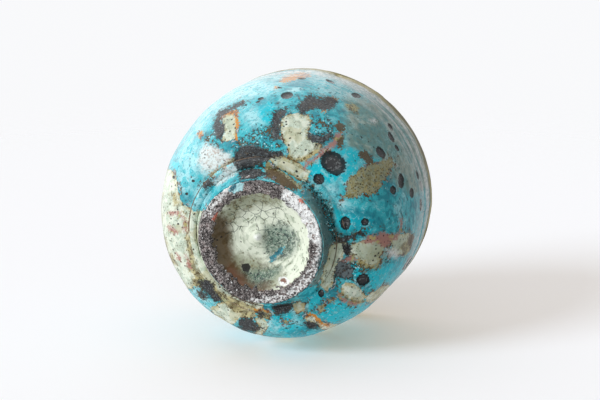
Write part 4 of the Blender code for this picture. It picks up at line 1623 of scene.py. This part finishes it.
def flank_profile():
    """Glazed outer side of the foot, from just above its resting face up to its root."""
    low = np.array((FOOT_RADIUS + FLANK_LOW_COAT, FLANK_LOW_EDGE))
    high = np.array((COLLAR_INNER_RADIUS - SEAT_GAP / 2, FOOT_HEIGHT + ROOT_GROOVE))
    share = np.linspace(0.0, 1.0, WALL_POINTS)[:, None]
    line = low + (high - low) * share
    hollow = FLANK_HOLLOW * np.sin(math.pi * share)
    return evenly(line - hollow * np.array((1.0, 0.0)), FLANK_ROWS)


def ring_profile():
    """Bare resting face of the foot with its rounded edges, from the well's wall to the flank."""
    angle = np.linspace(0.0, math.pi / 2, EDGE_POINTS)
    inner = np.stack([WELL_EDGE_RADIUS + FOOT_EDGE_ROUND * (1.0 - np.cos(angle)),
                      FOOT_EDGE_ROUND * (1.0 - np.sin(angle))], -1)
    outer = np.stack([FOOT_RADIUS - FOOT_EDGE_ROUND * (1.0 - np.sin(angle)),
                      FOOT_EDGE_ROUND * (1.0 - np.cos(angle))], -1)
    wall_height = FOOT_HEIGHT / RING_WALL_PART
    inner_top = (WELL_EDGE_RADIUS - RING_WALL_SLOPE / RING_WALL_PART, wall_height)
    outer_top = (FOOT_RADIUS + RING_WALL_SLOPE / RING_WALL_PART, wall_height)
    return evenly(np.vstack([inner_top, inner, outer, outer_top]), RING_ROWS)


def well_profile():
    """Dish of the foot well, from its middle out to the ring."""
    radius = np.linspace(0.0, WELL_EDGE_RADIUS - WELL_EDGE_COAT, WALL_POINTS)
    dish = (radius / radius[-1]) ** WELL_DISH_POWER
    height = WELL_FLOOR - (WELL_FLOOR - WELL_EDGE_HEIGHT) * dish
    return evenly(np.stack([radius, height], -1), WELL_ROWS)


def facing(face, right, up):
    """1 on the side of the bowl that the photograph shows at right and up, -1 on the opposite one."""
    side = np.array(PHOTO_RIGHT_ON_BOWL * right + PHOTO_UP_ON_BOWL * up)[:2]
    side /= np.linalg.norm(side)
    return np.cos(face.angle) * side[0] + np.sin(face.angle) * side[1]


def glaze_relief(face, fields):
    """Height in metres of the fired coat: sunk and raised patches, craters with a lip, and throwing marks."""
    height = sum(rise * smooth_between(-fields[kind], *edge) for kind, (rise, *edge) in PATCH_RELIEF.items())
    crater = smooth_between(-fields["spot"], *CRATER_EDGE)
    crater_lip = np.exp(-((fields["spot"] - CRATER_LIP_PLACE) / CRATER_LIP_WIDTH) ** 2)
    sway = THROWING_SWAY * wander(face.points, *THROWING_SWAY_WAVE)
    rings = np.sin(FULL_TURN * face.points[..., 2] / THROWING_PITCH + sway)
    on_wall = smooth_between(face.points[..., 2], *THROWN_PART)
    height += CRATER_DEPTH * crater + CRATER_LIP * crater_lip + THROWING_DEPTH * rings * on_wall
    return height + uneven(face.points, COAT_UNEVENNESS)


def build_coat(name, node, face, fields, profile, material):
    """Skin of even thickness in the runny glaze."""
    relief = glaze_relief(face, fields)
    back = back_of(profile, GLAZE_THICKNESS)
    dress(make_skin(name, face, back, relief, fields, material), node)


def build_belly(material):
    """Outside of the bowl, with chance patches where the photograph does not show it."""
    profile = belly_profile()
    face = Face(profile, BELLY_STEPS_AROUND)
    build_coat("belly_skin", "outer_glaze", face, glaze_fields(face), profile, material)


def build_hollow(material):
    """Inside of the bowl, with chance patches all over."""
    profile = hollow_profile()
    face = Face(profile, BELLY_STEPS_AROUND)
    face.hide()
    build_coat("hollow_skin", "inner_glaze", face, glaze_fields(face), profile, material)


def build_flank(material):
    """Outer side of the foot."""
    profile = flank_profile()
    face = Face(profile, SMALL_STEPS_AROUND)
    build_coat("flank_skin", "foot_glaze", face, glaze_fields(face, unseen=False), profile, material)


def build_lip(material):
    """Half-round band over the lip, with a back of three points."""
    face = Face(lip_profile(), SMALL_STEPS_AROUND)
    relief = uneven(face.points, LIP_UNEVENNESS)
    back = np.array([(RIM_RADIUS - WALL_THICKNESS + GLAZE_THICKNESS, WALL_TOP - LIP_TUCK),
                     (RIM_RADIUS - WALL_THICKNESS / 2, BOWL_HEIGHT - GLAZE_THICKNESS),
                     (RIM_RADIUS - GLAZE_THICKNESS, WALL_TOP - LIP_TUCK)])
    dress(make_skin("lip_band", face, back, relief, {}, material), "lip_glaze")


def build_collar(material):
    """Coil at the foot's root, thicker on one side, with a groove along its outer edge."""
    profile = collar_profile()
    face = Face(profile, SMALL_STEPS_AROUND)
    fields = glaze_fields(face, unseen=False)
    relief = glaze_relief(face, fields)
    share = face.run / face.run.max()
    raised = (1.0 + facing(face, *COLLAR_HIGH_SIDE)) / 2
    at_top = np.clip(facing(face, 0.0, 1.0), 0.0, 1.0)
    groove_place = COLLAR_GROOVE_LEFT + (COLLAR_GROOVE_TOP - COLLAR_GROOVE_LEFT) * at_top
    swell = np.sin(math.pi * np.minimum(share / groove_place, 1.0))
    relief = relief + COLLAR_SWELL * swell * (raised - COLLAR_EVEN_SHARE)
    relief = relief + ROOT_FILL * raised * smooth_between(-share, -ROOT_FILL_REACH, 0.0)
    relief = relief - COLLAR_GROOVE * raised * np.exp(-((share - groove_place) / COLLAR_GROOVE_WIDTH) ** 2)
    back = back_of(profile, COLLAR_DEPTH)
    dress(make_skin("collar_coil", face, back, relief, fields, material), "foot_collar")


def build_ring(material):
    """Foot ring with a worn inner edge, kept above the plane that it rests on."""
    face = Face(ring_profile(), RING_STEPS_AROUND)
    fields = glaze_fields(face, unseen=False)
    relief = uneven(face.points, RING_UNEVENNESS) - RING_WEAR
    on_inner_wall = smooth_between(-face.radius, -WELL_EDGE_RADIUS - 2 * FOOT_EDGE_ROUND, -WELL_EDGE_RADIUS)
    relief = relief + on_inner_wall * np.abs(uneven(face.points, RING_EDGE_WEAR))
    relief = np.minimum(relief, face.points[..., 2] / np.maximum(-face.normals[..., 2], LEAST_SLANT))
    back = np.array([(FOOT_ROOT_RADIUS, FOOT_HEIGHT), (WELL_EDGE_RADIUS - RING_WALL_SLOPE, FOOT_HEIGHT)])
    dress(make_skin("ring_clay", face, back, relief, fields, material), "foot_ring")


def build_well(material):
    """Pool inside the foot ring, with the trimmed peak and faint turning rings round it."""
    face = Face(well_profile(), SMALL_STEPS_AROUND)
    fields = glaze_fields(face, unseen=False)
    centre = np.array(PEAK_PLACE)[:2]
    away = np.linalg.norm(face.points[..., :2] - centre, axis=-1)
    fields["peak"] = away / MM
    fields["rim"] = np.broadcast_to((face.radius.max() - face.radius) / MM, away.shape)
    relief = PEAK_HEIGHT * np.exp(-(away / PEAK_RADIUS) ** PEAK_POINTEDNESS)
    relief += uneven(face.points, WELL_UNEVENNESS)
    relief += WELL_RING_DEPTH * np.sin(FULL_TURN * away / WELL_RING_PITCH)
    back = np.array([(WELL_EDGE_RADIUS, WELL_EDGE_HEIGHT), (WELL_EDGE_RADIUS - RING_WALL_SLOPE, FOOT_HEIGHT),
                     (0.0, FOOT_HEIGHT)])
    dress(make_skin("well_pool", face, back, relief, fields, material), "well_glaze")


def build_body(material):
    """Plain clay wall between the two coats, closed at the lip and under the floor."""
    outside = inset(evenly(belly_profile(), BODY_ROWS), GLAZE_THICKNESS)
    inside = inset(evenly(hollow_profile(), BODY_ROWS), GLAZE_THICKNESS)
    floor_height = FOOT_HEIGHT + SEAT_GAP + GLAZE_THICKNESS
    floor = [(0.0, floor_height), (outside[0, 0], floor_height)]
    face = Face(np.vstack([floor, outside]), BODY_STEPS_AROUND)
    inside[-1, 0] = 0.0
    relief = np.zeros(face.seen.shape)
    dress(make_skin("clay_wall", face, inside, relief, {}, material), "bowl_body")


def stage_sheet(name, middle, upward, radius, material):
    """Round flat sheet of the studio, not of the bowl, that fades out towards its edge."""
    beside = upward.orthogonal().normalized()
    ahead = upward.cross(beside)
    places = [middle]
    for share in (STAGE_PLAIN_SHARE, 1.0):
        for step in range(STAGE_STEPS):
            angle = FULL_TURN * step / STAGE_STEPS
            places.append(middle + (beside * math.cos(angle) + ahead * math.sin(angle)) * radius * share)
    faces = []
    for step in range(STAGE_STEPS):
        here = 1 + step
        there = 1 + (step + 1) % STAGE_STEPS
        faces.append((0, here, there))
        faces.append((here, here + STAGE_STEPS, there + STAGE_STEPS, there))
    mesh = bpy.data.meshes.new(name)
    mesh.from_pydata([tuple(place) for place in places], [], faces)
    add_layer(mesh, "cover", [1.0] * (1 + STAGE_STEPS) + [0.0] * STAGE_STEPS)
    mesh.materials.append(material)
    sheet = add_object(name, mesh)
    for ray in ("diffuse", "glossy", "transmission", "shadow"):
        setattr(sheet, "visible_" + ray, False)


def make_stage_paper(name, tone, glow, slants):
    """Pale paper that shows on its front side only, and comes in between two viewing slants."""
    material, sheet, _ = new_material(name)
    material.node_tree.nodes.clear()
    paper = sheet.add("ShaderNodeBsdfDiffuse", {"Color": tone}).outputs[0]
    light = sheet.add("ShaderNodeEmission", {"Color": glow}).outputs[0]
    lit = sheet.add("ShaderNodeAddShader", {0: paper, 1: light}).outputs[0]
    clear = sheet.add("ShaderNodeBsdfTransparent").outputs[0]
    front = sheet.sums("SUBTRACT", 1.0, sheet.add("ShaderNodeNewGeometry").outputs["Backfacing"])
    slant = sheet.add("ShaderNodeLayerWeight", {"Blend": SLANT_BLEND}).outputs["Facing"]
    cover = sheet.between(sheet.field("cover"), 0.0, 1.0)
    visible = sheet.times(sheet.between(slant, *slants), sheet.times(cover, front))
    mixed = sheet.add("ShaderNodeMixShader", {0: visible, 1: clear, 2: lit}).outputs[0]
    sheet.set(sheet.add("ShaderNodeOutputMaterial").inputs["Surface"], mixed)
    return material


def build_stage():
    """The table that the bowl lies on in the photograph, and a floor under the standing bowl."""
    lowest = min(min(vert.co.dot(TABLE_UP) for vert in piece.data.vertices) for piece in DRESSED)
    table_paper = make_stage_paper("table_paper", TABLE_TONE, TABLE_GLOW, TABLE_SLANT)
    bowl_middle = Vector((0.0, 0.0, BOWL_HEIGHT / 2))
    middle = bowl_middle + TABLE_UP * (lowest - bowl_middle.dot(TABLE_UP))
    stage_sheet("table", middle, TABLE_UP, TABLE_RADIUS, table_paper)
    floor_paper = make_stage_paper("floor_paper", FLOOR_TONE, FLOOR_GLOW, FLOOR_SLANT)
    stage_sheet("floor", Vector((0.0, 0.0, 0.0)), Vector((0.0, 0.0, 1.0)), FLOOR_RADIUS, floor_paper)


def add_sun(name, direction, level, spread):
    """Even soft light without a gleam; at a level of 1, a surface that faces it shows its own colour."""
    lamp = bpy.data.lights.new(name, "SUN")
    lamp.energy = level * math.pi
    lamp.angle = spread
    holder = add_object(name, lamp)
    towards = Vector(direction).normalized()
    holder.location = towards
    holder.rotation_euler = towards.to_track_quat("Z", "Y").to_euler()
    holder.visible_glossy = False


def from_photo(right, up, towards_camera):
    """A direction given as the photograph shows it, in the bowl's axes."""
    return PHOTO_TURN.transposed() @ Vector((right, -up, -towards_camera))


def room_level(sheet, place, levels):
    """Brightness of the room in every direction, blended from its six sides as the photograph shows them."""
    right = from_photo(1.0, 0.0, 0.0)
    front = right.cross(TABLE_UP)
    sides = {"right": right, "left": -right, "ceiling": TABLE_UP}
    sides.update({"table": -TABLE_UP, "front": front, "behind": -front})
    total = 0.0
    for side, direction in sides.items():
        towards = sheet.sums("MAXIMUM", sheet.dot(place, direction), 0.0)
        share = sheet.times(towards, towards)
        total = sheet.sums("ADD", total, sheet.times(share, levels[side]))
    return total


def build_light():
    """Soft light from the photograph's left, a weak one into the standing bowl, and a white room."""
    key_direction = from_photo(*KEY_DIRECTION).normalized()
    add_sun("key", key_direction, KEY_LEVEL, KEY_SPREAD)
    add_sun("overhead", OVERHEAD_DIRECTION, OVERHEAD_LEVEL, OVERHEAD_SPREAD)
    world = bpy.data.worlds.new("white_room")
    world.use_nodes = True
    sheet = NodeSheet(world.node_tree)
    world.node_tree.nodes.clear()
    path = sheet.add("ShaderNodeLightPath").outputs
    place = sheet.add("ShaderNodeTexCoord").outputs["Generated"]
    gleam = room_level(sheet, place, ROOM_GLEAM)
    back_direction = from_photo(*BACK_WINDOW_DIRECTION).normalized()
    key_window = (key_direction, WINDOW_EDGE, WINDOW_GLEAM)
    back_window = (back_direction, BACK_WINDOW_EDGE, BACK_WINDOW_GLEAM)
    for direction, edge, level in (key_window, back_window):
        window = sheet.between(sheet.dot(place, direction), *edge)
        gleam = sheet.sums("ADD", gleam, sheet.times(window, level))
    brightness = sheet.mix_values(path["Is Glossy Ray"], room_level(sheet, place, ROOM_LIGHT), gleam)
    room = sheet.add("ShaderNodeBackground", {"Color": WHITE, "Strength": brightness}).outputs[0]
    backdrop = sheet.add("ShaderNodeBackground", {"Color": BACKDROP_COLOUR, "Strength": 1.0}).outputs[0]
    mixed = sheet.add("ShaderNodeMixShader", {0: path["Is Camera Ray"], 1: room, 2: backdrop})
    sheet.set(sheet.add("ShaderNodeOutputWorld").inputs["Surface"], mixed.outputs[0])
    bpy.context.scene.world = world


def build_camera():
    """The photograph's camera, below the foot of the standing bowl."""
    data = bpy.data.cameras.new("photo_camera")
    data.sensor_fit = "HORIZONTAL"
    data.sensor_width = SENSOR_WIDTH_MM
    data.lens = FOCAL_PIXELS / PHOTO_WIDTH * SENSOR_WIDTH_MM
    data.clip_start, data.clip_end = CAMERA_CLIP
    camera = add_object("photo_camera", data)
    back = PHOTO_TURN.transposed()
    axes = Matrix([back @ Vector(axis) for axis in CAMERA_AXES]).transposed()
    camera.matrix_world = Matrix.Translation(CAMERA_PLACE) @ axes.to_4x4()
    bpy.context.scene.camera = camera


def build_bowl():
    """Every skin of the bowl in its material."""
    marks = make_firing_marks()
    glaze = make_runny_glaze(marks)
    build_body(make_body_clay(marks))
    build_ring(make_foot_clay(marks))
    build_collar(make_coat("collar_glaze", glaze))
    build_flank(make_coat("flank_glaze", glaze))
    build_well(make_well_coat(marks))
    build_belly(make_coat("belly_glaze", glaze))
    build_hollow(make_coat("hollow_glaze", glaze))
    build_lip(make_lip_coat(marks))


bpy.context.scene.view_settings.view_transform = "Standard"
build_bowl()
build_stage()
build_light()
build_camera()
